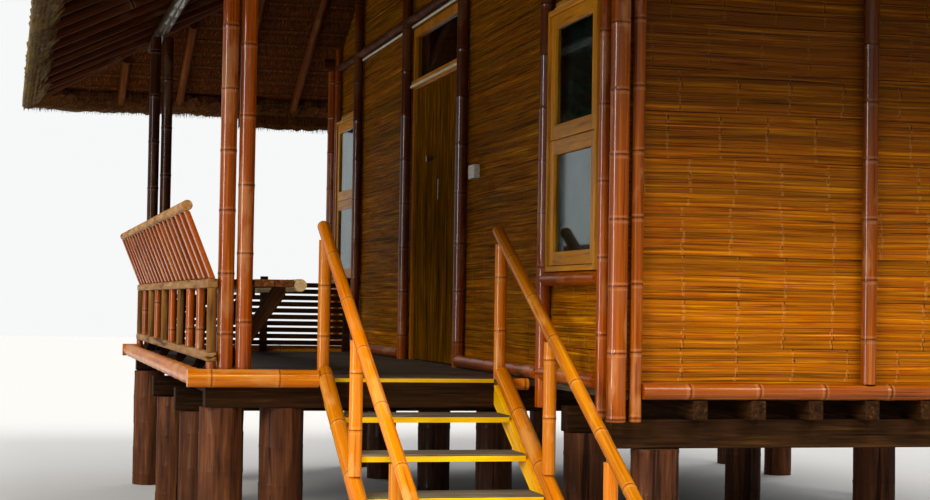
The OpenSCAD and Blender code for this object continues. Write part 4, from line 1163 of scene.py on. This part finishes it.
# %% Windows
FRAME_WIDE, SET_BACK, GROOVE, SASH, GLASS = 0.03, 0.012, 0.004, 0.042, 0.005
GLASS_IN, REBATE, BAR_THICK, BAR_HALF, CURTAIN_IN = 0.016, 0.004, 0.02, 0.03, 0.05
panes = [(corners.min(0), corners.max(0)) for corners, faces in solids("glass_panes")]


def window(low, high):
    """The wooden parts of a window, its panes, and x and limits of the opening where a curtain hangs."""
    (x0, y0, z0), (x1, y1, z1) = low, high
    outer, way = (x0, 1) if x0 < 0 else (x1, -1)

    def depths(near, far):
        """Lower and upper x of what lies between two depths behind the outer face."""
        return sorted((outer + way * near, outer + way * far))

    left, right_side, foot, head = y0 + FRAME_WIDE, y1 - FRAME_WIDE, z0 + FRAME_WIDE, z1 - FRAME_WIDE
    wood = [block((x0, y0, z0), (x1, left, z1)), block((x0, right_side, z0), (x1, y1, z1)),
            block((x0, left, head), (x1, right_side, z1)), block((x0, left, z0), (x1, right_side, foot))]
    lower, upper = sorted((pane for pane in panes if y0 < pane[0][1] and pane[1][1] < y1
                           and x0 < pane[0][0] and pane[1][0] < x1), key=lambda pane: pane[0][2])
    middle, glass = (lower[1][2] + upper[0][2]) / 2, []
    front, back = depths(SET_BACK, SET_BACK + SASH)
    near, far = depths(SET_BACK + GLASS_IN, SET_BACK + GLASS_IN + GLASS)
    for pane, bottom, top in ((lower, foot + GROOVE, middle - GROOVE / 2),
                              (upper, middle + GROOVE / 2, head - GROOVE)):
        (_, a, low_z), (_, b, high_z) = pane
        wood += [block((front, left + GROOVE, bottom), (back, a, top)),
                 block((front, b, bottom), (back, right_side - GROOVE, top)),
                 block((front, a, bottom), (back, b, low_z)), block((front, a, high_z), (back, b, top))]
        glass.append(block((near, a - REBATE, low_z - REBATE), (far, b + REBATE, high_z + REBATE)))
    near, far = depths(SET_BACK + SASH, SET_BACK + SASH + BAR_THICK)
    wood.append(block((near, left, middle - BAR_HALF), (far, right_side, middle + BAR_HALF)))
    return wood, glass, (outer + way * (SET_BACK + SASH + CURTAIN_IN), left, right_side, foot, head)


windows = [window(low, high) for low, high in window_boxes]
install(eased("window_sashes", window_wood, shapes=[part for wood, glass, inside in windows for part in wood],
              seed=33), "house", "golden_wood", "window_frames")

# %% [markdown]
# Dark folds show behind the front windows. The cloth is a plain weave, dyed a dark blue
# green that is a little uneven.

# %% Curtain cloth
cloth, tree, shader = new_finish("curtain_cloth")
grain = attribute(tree, "grain", "Vector")
weave = add(tree, "ShaderNodeTexWave", {"bands_direction": "Z"}, Vector=grain, Scale=260.0)
thread = add(tree, "ShaderNodeTexNoise", Vector=grain, Scale=14.0, Detail=4.0)
connect(tree, shader, Roughness=0.85,
        Base_Color=ramp(tree, thread.outputs[0], (0.35, linear(20, 58, 56)), (0.65, linear(34, 84, 78))))
height(tree, shader, weave.outputs["Fac"], 0.3, 0.0005)
print("curtain cloth:", len(tree.nodes), "nodes")

# %% [markdown]
# A curtain hangs inside each front window on a thin rod between the sides of the frame. It
# is a closed sheet whose folds deepen towards the hem, and its flat width is the length of
# the wave, so nothing is stretched.

# %% Curtains
CLOTH_HALF, FOLDS, SIDE_CLEAR, ROD_DROP, ROD_R = 0.0008, 11, 0.012, 0.02, 0.008
SHALLOW, DEEPER = 0.008, 0.016


def face_outwards(piece):
    """Makes all faces of a closed piece point outwards."""
    with opened(piece) as bm:
        bmesh.ops.recalc_face_normals(bm, faces=bm.faces)


def curtain(name, low, high, x, folds, seed):
    """low and high: (y, z) of the lower left and upper right corners. Returns the flat width too."""
    dice = random.Random(seed)
    wide, tall = 16 * folds + 1, 15
    start = [dice.uniform(-0.3, 0.3) for _ in range(folds + 1)]
    points, grain = [], []
    for down in np.linspace(0, 1, tall):
        z = high[1] + (low[1] - high[1]) * down
        for f in np.linspace(0, 1, wide):
            drift = np.interp(f * folds, range(folds + 1), start)
            wave = math.sin(2 * math.pi * f * folds + drift * 2 * down)
            fold = (SHALLOW + DEEPER * down ** 0.7) * wave
            points.append((x + fold, low[0] + (high[0] - low[0]) * f, z))
            grain.append((f, z, 0.0))
    front, count = np.array(points), len(points)
    steps = np.diff(front.reshape(tall, wide, 3), axis=1)
    length = float(np.linalg.norm(steps, axis=2).sum(1).mean())
    sheet = np.concatenate([front + (CLOTH_HALF, 0, 0), front - (CLOTH_HALF, 0, 0)])
    faces = grid(wide, tall) + [tuple(count + i for i in reversed(face)) for face in grid(wide, tall)]
    rim = [r * wide + c for c, r in rim_of(wide, tall)]
    faces += [(a, count + a, count + b, b) for a, b in zip(rim, rim[1:] + rim[:1])]
    piece = plain_mesh(name, sheet, faces, cloth)
    mark(piece.data, grain=grain + grain, tone=[0.5] * len(sheet))
    face_outwards(piece)
    for polygon in piece.data.polygons:
        polygon.use_smooth = True
    print(name, "flat width", round(length, 3), "m, length", round(high[1] - low[1], 3), "m")
    return piece, length


for number, (x, left, right_side, foot, head) in enumerate(w[2] for w in windows if w[2][0] < 0):
    rod_z = head - ROD_DROP
    rod_line = ((x, left - 0.002, rod_z), (x, right_side + 0.002, rod_z), ROD_R)
    rod = poles(f"curtain_rod_{number + 1}", [rod_line], eave_bamboo, 0.3, 8)
    install(rod, "house", "brown_bamboo")
    drape, flat_width = curtain(f"curtain_{number + 1}", (left + SIDE_CLEAR, foot + ROD_DROP),
                                (right_side - SIDE_CLEAR, rod_z), x, FOLDS, 60 + number)
    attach(drape, "house")

# %% [markdown]
# The panes of the windows are new sheets, let into their sashes, and the pane over the door
# keeps the size of its CAD solid. The glass is clear with a faint cloudiness, as old panes
# have.

# %% Glass
window_glass, tree, shader = new_finish("window_glass")
cloud = add(tree, "ShaderNodeTexNoise", Vector=attribute(tree, "grain", "Vector"), Scale=3.0,
            Detail=3.0).outputs[0]
connect(tree, shader, Roughness=sums(tree, "MULTIPLY_ADD", cloud, 0.05, 0.01), Transmission_Weight=1.0,
        IOR=1.45, Base_Color=ramp(tree, cloud, (0.3, linear(120, 150, 146)), (0.7, linear(150, 178, 170))))
sheets = [sheet for wood, glass, inside in windows for sheet in glass]
sheets += [block(low, high) for low, high in panes if not any(
    w[0][1] < low[1] and high[1] < w[1][1] and w[0][0] < low[0] < w[1][0] for w in window_boxes)]
install(eased("glass_sheets", window_glass, shapes=sheets, ease=0.0008, steps=1, seed=5), "house",
        "window_glass", "glass_panes")

# %% [markdown]
# The hinges, knobs and bolts are brass gone dark, and the switch box and its tube are pale
# plastic. Both are plain finishes with duller spots, on eased copies of the CAD solids.

# %% Metal and plastic


def small(name, colour, dull, metallic, rough):
    """Plain metal or plastic that is dull and stained in places."""
    material, tree, shader = new_finish(name)
    spots = add(tree, "ShaderNodeTexNoise", Vector=attribute(tree, "grain", "Vector"), Scale=60.0,
                Detail=4.0).outputs[0]
    connect(tree, shader, Base_Color=ramp(tree, spots, (0.35, linear(*dull)), (0.62, linear(*colour))),
            Roughness=sums(tree, "MULTIPLY_ADD", spots, 0.3, rough - 0.15), Metallic=metallic)
    return material


dark_brass = small("dark_brass", (120, 96, 52), (52, 40, 26), 1.0, 0.45)
grey_plastic = small("grey_plastic", (214, 210, 196), (186, 178, 158), 0.0, 0.4)
for node, body, slot, finish in (
    ("left_leaf_fittings", "left_leaf", "dark_brass", dark_brass),
    ("right_leaf_fittings", "right_leaf", "dark_brass", dark_brass),
    ("hinge_pins", "house", "dark_brass", dark_brass),
    ("switch_box", "house", "grey_plastic", grey_plastic),
    ("conduit", "house", "grey_plastic", grey_plastic),
):
    install(eased(node + "_eased", finish, node, ease=0.0015, seed=len(node)), body, slot, node)

# %% [markdown]
# ## Thatch
# Each slope is a closed slab with stepped courses on top and rows of leaf panels below. On it
# lie thousands of blades. They follow the lower edge of each course, so a Geometry Nodes tree
# spreads them along lines, turns each one down the slope and gives it its own length.
#
# The straw is grey outside, with golden tufts and damp patches, and warm brown on the inner
# side, which the weather doesn't reach. The ring attribute says how far inside a point is.

# %% Thatch finish
thatch, tree, shader = new_finish("thatch")
grain, tone, inner = attribute(tree, "grain", "Vector"), attribute(tree, "tone"), attribute(tree, "ring")
streak = fibres(tree, grain, 90, 5, 6.0, 0.8)
clump = fibres(tree, grain, 9, 3, 3.0, 0.5)
outside = ramp(tree, streak, (0.28, linear(52, 42, 28)), (0.5, linear(114, 98, 70)),
               (0.75, linear(172, 156, 120)))
inside = ramp(tree, streak, (0.28, linear(28, 12, 2)), (0.5, linear(74, 36, 9)), (0.75, linear(126, 72, 24)))
place = add(tree, "ShaderNodeTexCoord").outputs["Object"]
tufts = add(tree, "ShaderNodeTexNoise", Vector=place, Scale=7.0, Detail=4.0, Roughness=0.7).outputs[0]
weather = add(tree, "ShaderNodeTexNoise", Vector=place, Scale=0.9, Detail=4.0, Roughness=0.6).outputs[0]
outside = layer(tree, outside, mask(tree, tufts, 0.44, 0.62), 0.5, linear(150, 118, 48))
outside = layer(tree, outside, mask(tree, weather, 0.56, 0.36), 0.4, linear(62, 54, 42))
colour = shaded(tree, blend_colours(tree, "MIX", inner, outside, inside),
                sums(tree, "MULTIPLY_ADD", sums(tree, "ADD", tone, clump), 0.45, 0.5))
connect(tree, shader, Base_Color=colour, Roughness=sums(tree, "MULTIPLY_ADD", streak, 0.2, 0.8),
        Specular_IOR_Level=0.03)
height(tree, shader, streak, 0.8, 0.01)
print("materials in all:", len(bpy.data.materials))

# %% [markdown]
# One blade of straw is a thin cone with three sides. The tree sets points along the lines at
# an even spacing, leans each blade a little away from the line's direction, and draws its
# length between a short and a long one.

# %% Blade tree
blade_tree, given, result = new_tree("blades", Spacing="Float", Short="Float", Long="Float", Width="Float",
                                     Spread="Float", Seed="Int", Material="Material")
seed, spread, width = given.outputs["Seed"], given.outputs["Spread"], given.outputs["Width"]
follow = add(blade_tree, "GeometryNodeMeshToCurve", Mesh=given.outputs["Geometry"])
spots = add(blade_tree, "GeometryNodeCurveToPoints", {"mode": "LENGTH"}, Curve=follow.outputs[0],
            Length=given.outputs["Spacing"])
lean = add(blade_tree, "FunctionNodeRandomValue", {"data_type": "FLOAT_VECTOR"}, Seed=seed,
           i0=alike(blade_tree, sums(blade_tree, "MULTIPLY", spread, -1.0)), i1=alike(blade_tree, spread))
way = add(blade_tree, "ShaderNodeVectorMath", {"operation": "ADD"}, i1=lean.outputs[0],
          i0=read(blade_tree, "lie", "FLOAT_VECTOR"))
turn = add(blade_tree, "FunctionNodeAlignRotationToVector", {"axis": "Z"}, Vector=way.outputs[0])
long = add(blade_tree, "FunctionNodeRandomValue", {"data_type": "FLOAT"}, i2=given.outputs["Short"],
           i3=given.outputs["Long"], Seed=sums(blade_tree, "ADD", seed, 1.0))
blade = add(blade_tree, "GeometryNodeMeshCone", Vertices=3, Side_Segments=1, Fill_Segments=1, Radius_Top=0.0,
            Radius_Bottom=1.0, Depth=1.0)
scale = add(blade_tree, "ShaderNodeCombineXYZ", X=width, Y=sums(blade_tree, "MULTIPLY", width, 0.5),
            Z=long.outputs[1])
local = add(blade_tree, "GeometryNodeInputPosition")
single = store(blade_tree, blade.outputs["Mesh"], "grain", local.outputs[0], "FLOAT_VECTOR")
laid = add(blade_tree, "GeometryNodeInstanceOnPoints", Points=spots.outputs[0], Instance=single,
           Rotation=turn.outputs[0], Scale=scale.outputs[0])
real_copies(blade_tree, laid.outputs[0], sums(blade_tree, "ADD", seed, 2.0), given, result,
            unit=(0.005, 0.005, 0.15))


def blades(name, lines, spacing, short, long, width, spread, seed):
    """lines: (points, direction, inner) of each line that blades grow from."""
    points, edges, lie, inner = [], [], [], []
    for run, way, deep in lines:
        edges += [(len(points) + i, len(points) + i + 1) for i in range(len(run) - 1)]
        points += run
        lie += [way] * len(run)
        inner += [deep] * len(run)
    mesh = bpy.data.meshes.new(name)
    mesh.from_pydata(points, edges, [])
    mark(mesh, lie=lie, ring=inner)
    return grow(set_out(name, mesh), blade_tree, Spacing=spacing, Short=short, Long=long, Width=width,
                Spread=spread, Seed=seed, Material=thatch)


# %% [markdown]
# A thick, ragged band of straw hangs along each eave and hides the ends of the rafters. It is
# one outline, drawn through the band, that is repeated along the eave with a little shake.

# %% Straw bands
COLUMN = 0.045
# Distance from the edge, height over the underside, roughness and how far inside, around each outline
SKIRT = ((0.014, 0.03, 0.0, 0.0), (0.014, -0.05, 0.005, 0.05), (0.035, -0.085, 0.014, 0.1),
         (0.1, -0.098, 0.016, 0.2), (0.16, -0.09, 0.022, 0.3), (0.2, -0.055, 0.032, 0.35),
         (0.2, 0.01, 0.012, 0.6))
LOW_ROW = ((0.05, -0.03, 0.0, 0.9), (0.05, -0.17, 0.006, 0.8), (0.075, -0.205, 0.012, 0.8),
           (0.11, -0.18, 0.008, 0.95), (0.12, -0.03, 0.0, 0.95))


def straw_band(name, point, reach, profile, seed):
    """A closed band along an eave. reach(t) gives its two ends at a distance t from the edge, and
    profile the (t, height, roughness, inner) of its outline."""
    dice = random.Random(seed)
    left, right_end = reach(0.0)
    columns, around = round((right_end - left) / COLUMN), len(profile)
    points, faces, grain, tone, ring = [], [], [], [], []
    for c in range(columns + 1):
        slow = 0.018 * math.sin(c * 0.17 + seed) + 0.012 * math.sin(c * 0.43)
        for t, h, rough, deep in profile:
            a, b = reach(t)
            s = a + (b - a) * c / columns
            shake = (dice.uniform(-rough, rough) + slow * rough / 0.02) if 0 < c < columns else 0.0
            points.append(point(s, max(0.012, t + shake), h + 0.6 * dice.uniform(-rough, rough)))
            grain.append((s, t, h))
            tone.append(0.2 + 0.7 * dice.random())
            ring.append(deep)
    for c in range(columns):
        for k in range(around):
            i, j = c * around + k, c * around + (k + 1) % around
            faces.append((i, j, j + around, i + around))
    faces += [tuple(range(around)), tuple(columns * around + k for k in range(around))]
    piece = plain_mesh(name, points, faces, thatch)
    mark(piece.data, grain=grain, tone=tone, ring=ring)
    face_outwards(piece)
    return piece


print("the skirt goes down", -min(h for t, h, rough, deep in SKIRT), "m below the eave")

# %% [markdown]
# The slopes share one pitch and one thickness, both measured on the CAD slabs. A slope knows
# the two level directions of its eave and turns a place on it into a point: s along the eave,
# t inwards from it, and h above the underside.

# %% Slopes
COURSE, STEP, ROW, BATTEN, UP = 0.27, 0.035, 0.2, 0.011, Vector((0, 0, 1))
roof_low, roof_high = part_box("front_thatch")[0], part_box("back_thatch")[1]
eave_z, reach_x, reach_y = roof_low.z, roof_high.x, roof_high.y
heights = np.concatenate([corners[:, 2] for corners, faces in solids("front_thatch")])
thick = sorted(set(np.round(heights, 4)))[1] - eave_z
pitch = (roof_high.z - eave_z - thick) / reach_x
print("thickness", round(thick, 4), "rise per metre", round(pitch, 4))


class Slope:
    """One slope of the roof, with its eave along one level direction and its way up along the other."""

    def __init__(self, along, inward, half):
        self.along, self.inward, self.half = Vector(along), Vector(inward), half
        self.foot = -self.inward * (reach_x if half == reach_y else reach_y) + UP * eave_z

    def point(self, s, t, h):
        """The place of s, t and h."""
        return self.foot + self.along * s + self.inward * t + UP * (t * pitch + h)

    def line(self, t, h, short=0.99):
        """The two ends of a line across the slope, a little short of the hips."""
        return [self.point(s * (self.half - t), t, h) for s in (-short, short)]

    def way(self, out, down):
        """A direction that leads outwards and down, in these shares."""
        return (-self.inward * out - UP * down).normalized()


# %% [markdown]
# The slab is one closed grid, wrapped from the top of the inner side down to the eave and up
# again over the courses. Every course ends in a step, and its lower edge is a little ragged.

# %% Courses
FIRST_COURSE, FIRST_ROW, SLAB_COLUMN = 0.05, 0.06, 0.11


def even_steps(first, size):
    """Starts and ends of equal steps up a slope, the last one cut off at the ridge."""
    marks = [first]
    while marks[-1] < reach_x - 0.05:
        marks.append(min(marks[-1] + size, reach_x))
    return list(zip(marks, marks[1:]))


def courses(name, slope, seed):
    """The closed slab of a slope. Its rows are (t, height, roughness, inner, tone with painted shade and
    light).
    """
    dice = random.Random(seed)
    below, above = [], []
    for low, high in even_steps(FIRST_ROW, ROW):
        # Under each row of leaves the tone is painted shade deep in its recess and painted light on its lower
        # lip
        below += [(low, 0.004, 0.003, 1.0, 1.1), (high - 0.09, 0.028, 0.003, 1.0, 0.5),
                  (high - 0.004, 0.045, 0.003, 1.0, -1.0)]
    for low, high in even_steps(FIRST_COURSE, COURSE):
        above += [(low - 0.02, thick - 0.002, 0.018, 0.0, 0.5),
                  (low * 0.6 + high * 0.4, thick - STEP * 0.5, 0.004, 0.0, 0.5),
                  (high, thick - STEP, 0.004, 0.0, 0.5)]
    rows = below[::-1] + [(0.05, 0.03, 0.012, 0.6, 0.5), (0.045, 0.11, 0.015, 0.2, 0.5)] + above
    columns = round(2 * slope.half / SLAB_COLUMN)
    points, grain, tone, ring = [], [], [], []
    for t, h, rough, deep, own in rows:
        for c in range(columns + 1):
            loose = 0 < c < columns and 0.02 < t < reach_x - 0.06
            push = dice.uniform(-rough, rough) if loose else 0.0
            lift = dice.uniform(-0.3, 0.3) * rough if loose else 0.0
            s = (2 * c / columns - 1) * (slope.half - max(t, 0.0))
            points.append(slope.point(s, max(t + push, 0.012), h + lift))
            grain.append((s, h, t / math.cos(math.atan(pitch))))
            tone.append(own + 0.5 * (dice.random() - 0.5))
            ring.append(deep)
    wide, last = columns + 1, (len(rows) - 1) * (columns + 1)
    faces = grid(wide, len(rows)) + [(last + c, last + c + 1, c + 1, c) for c in range(columns)]
    faces.append(list(range(0, last + 1, wide)))
    faces.append(list(range(last + columns, 0, -wide)))
    piece = plain_mesh(name, points, faces, thatch)
    mark(piece.data, grain=grain, tone=tone, ring=ring)
    with opened(piece) as bm:
        bmesh.ops.remove_doubles(bm, verts=bm.verts, dist=1e-5)
        bmesh.ops.dissolve_degenerate(bm, edges=bm.edges, dist=1e-6)
        bmesh.ops.recalc_face_normals(bm, faces=bm.faces)
    return piece


print("up a slope:", len(even_steps(FIRST_COURSE, COURSE)), "courses and", len(even_steps(FIRST_ROW, ROW)),
      "rows of leaves below")

# %% [markdown]
# Three kinds of blades lie on a slope: long ones over the lower edge of each course, the hem
# that hangs down in front of the eave and at the rows of leaves inside, and short tips all
# around the band of straw. On the far eave, where the photograph shows leaves on the inner
# side, the tips are brown and one more row hangs below.

# %% Blades and battens


def thatch_slope(node, along, inward, half, seen, seed, leafy=False, low_row=None):
    """seen: how far up the slope shows from below. leafy: the eave's inner side is leaves. low_row:
    from where to where along the eave one more row of leaves hangs below it."""
    slope = Slope(along, inward, half)
    install(courses(node + "_courses", slope, seed), "house", "thatch", node)

    down, flat = slope.way(1, pitch), slope.way(1, pitch + 0.12)
    hang, drop, slant = slope.way(0.75, 1), slope.way(0.15, 1), slope.way(0.8, 0.9)
    lines, t = [], FIRST_COURSE + COURSE
    while t < reach_x - 0.1:
        lines.append((slope.line(t + 0.05, thick - 0.012, 0.995), down + UP * 0.03, 0.0))
        t += COURSE
    lines += [(slope.line(t, h, 0.995), down, deep) for t, h, deep in (
        (0.15, thick - 0.012, 0.0), (0.13, thick * 0.7, 0.0), (0.12, thick * 0.4, 0.1))]
    hems = [(slope.line(0.11, 0.13), hang, 0.0), (slope.line(0.11, 0.05), hang, 0.1)]
    tips = [(slope.line(t, h), way, 0.85 if leafy and t > 0.06 else deep) for t, h, way, deep in (
        (0.03, -0.03, drop, 0.05), (0.035, -0.07, drop, 0.15), (0.07, -0.085, drop, 0.2),
        (0.11, -0.09, slant, 0.3), (0.15, -0.085, slant, 0.4), (0.185, -0.07, slant, 0.5),
        (0.215, -0.04, slant, 0.5))]
    if low_row:
        tips += [([slope.point(s, t, h) for s in low_row], drop, 0.85) for t, h in (
            (0.06, -0.18), (0.08, -0.195), (0.1, -0.17), (0.115, -0.12))]
        install(straw_band(node + "_low_row", slope.point, lambda t: low_row, LOW_ROW, seed + 5), "house",
                "thatch")
    row = FIRST_ROW + ROW
    while row < seen:
        hems.append(([slope.point(s * (half - row), row + 0.06, 0.014) for s in (-0.99, 0.99)], flat, 0.9))
        row += ROW
    laid = blades(node + "_blades", lines, 0.012, 0.05, 0.12, 0.006, 0.16, seed)
    hung = blades(node + "_hem", hems, 0.011, 0.05, 0.13, 0.0045, 0.2, seed + 1)
    short = blades(node + "_tips", tips, 0.0105, 0.02, 0.06, 0.0045, 0.22, seed + 3)
    install(joined(node + "_blades", [laid, hung, short]), "house", "thatch")
    skirt = [(t, h, rough, 0.9 if leafy and t >= 0.05 else deep) for t, h, rough, deep in SKIRT]
    install(straw_band(node + "_band", slope.point, lambda t: (t - half, half - t), skirt, seed + 4), "house",
            "thatch")

    battens, t = [], 0.09
    while t < reach_x - 0.1:
        end = half - t - 0.02
        battens.append((slope.point(-end, t, 0.016), slope.point(end, t, 0.016), BATTEN))
        t += ROW
    install(poles(node + "_battens", battens, eave_bamboo, 0.6, 8, seed=seed + 2), "house", "brown_bamboo")


for node, along, inward, half, seen, seed, options in (
    ("front_thatch", (0, 1, 0), (1, 0, 0), reach_y, 2.9, 100, {}),
    ("back_thatch", (0, -1, 0), (-1, 0, 0), reach_y, 1.0, 200, {}),
    ("near_thatch", (-1, 0, 0), (0, 1, 0), reach_x, 2.4, 300, {}),
    ("far_thatch", (1, 0, 0), (0, -1, 0), reach_x, 2.4, 400,
     dict(leafy=True, low_row=(-1.93, reach_x - 0.35))),
):
    thatch_slope(node, along, inward, half, seen, seed, **options)

# %% [markdown]
# The ridge cap is a folded layer of straw over the top of both long slopes. Rows of blades
# lie on it, and a bamboo on each side binds it down.

# %% Ridge cap
install(eased("ridge_cap_straw", thatch, "ridge_cap", ease=0.02, seed=7), "house", "thatch", "ridge_cap")
cap_low, cap_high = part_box("ridge_cap")
cap_lines, binders = [], []
for side in (-1, 1):
    way = Vector((side, 0, -pitch)).normalized() + UP * 0.03
    for share in (0.25, 0.45, 0.65, 0.85):
        x = side * cap_high.x * share
        z = cap_high.z - abs(x) * pitch - 0.012
        cap_lines.append(([(x, cap_low.y + 0.01, z), (x, cap_high.y - 0.01, z)], way, 0.0))
    x = side * cap_high.x * 0.62
    z = cap_high.z - abs(x) * pitch + 0.004
    binders.append(((x, cap_low.y + 0.02, z), (x, cap_high.y - 0.02, z), 0.02))
install(blades("ridge_cap_blades", cap_lines, 0.008, 0.05, 0.1, 0.006, 0.18, 77), "house", "thatch")
install(poles("ridge_binders", binders, eave_bamboo, 0.35, 10, seed=78), "house", "brown_bamboo")
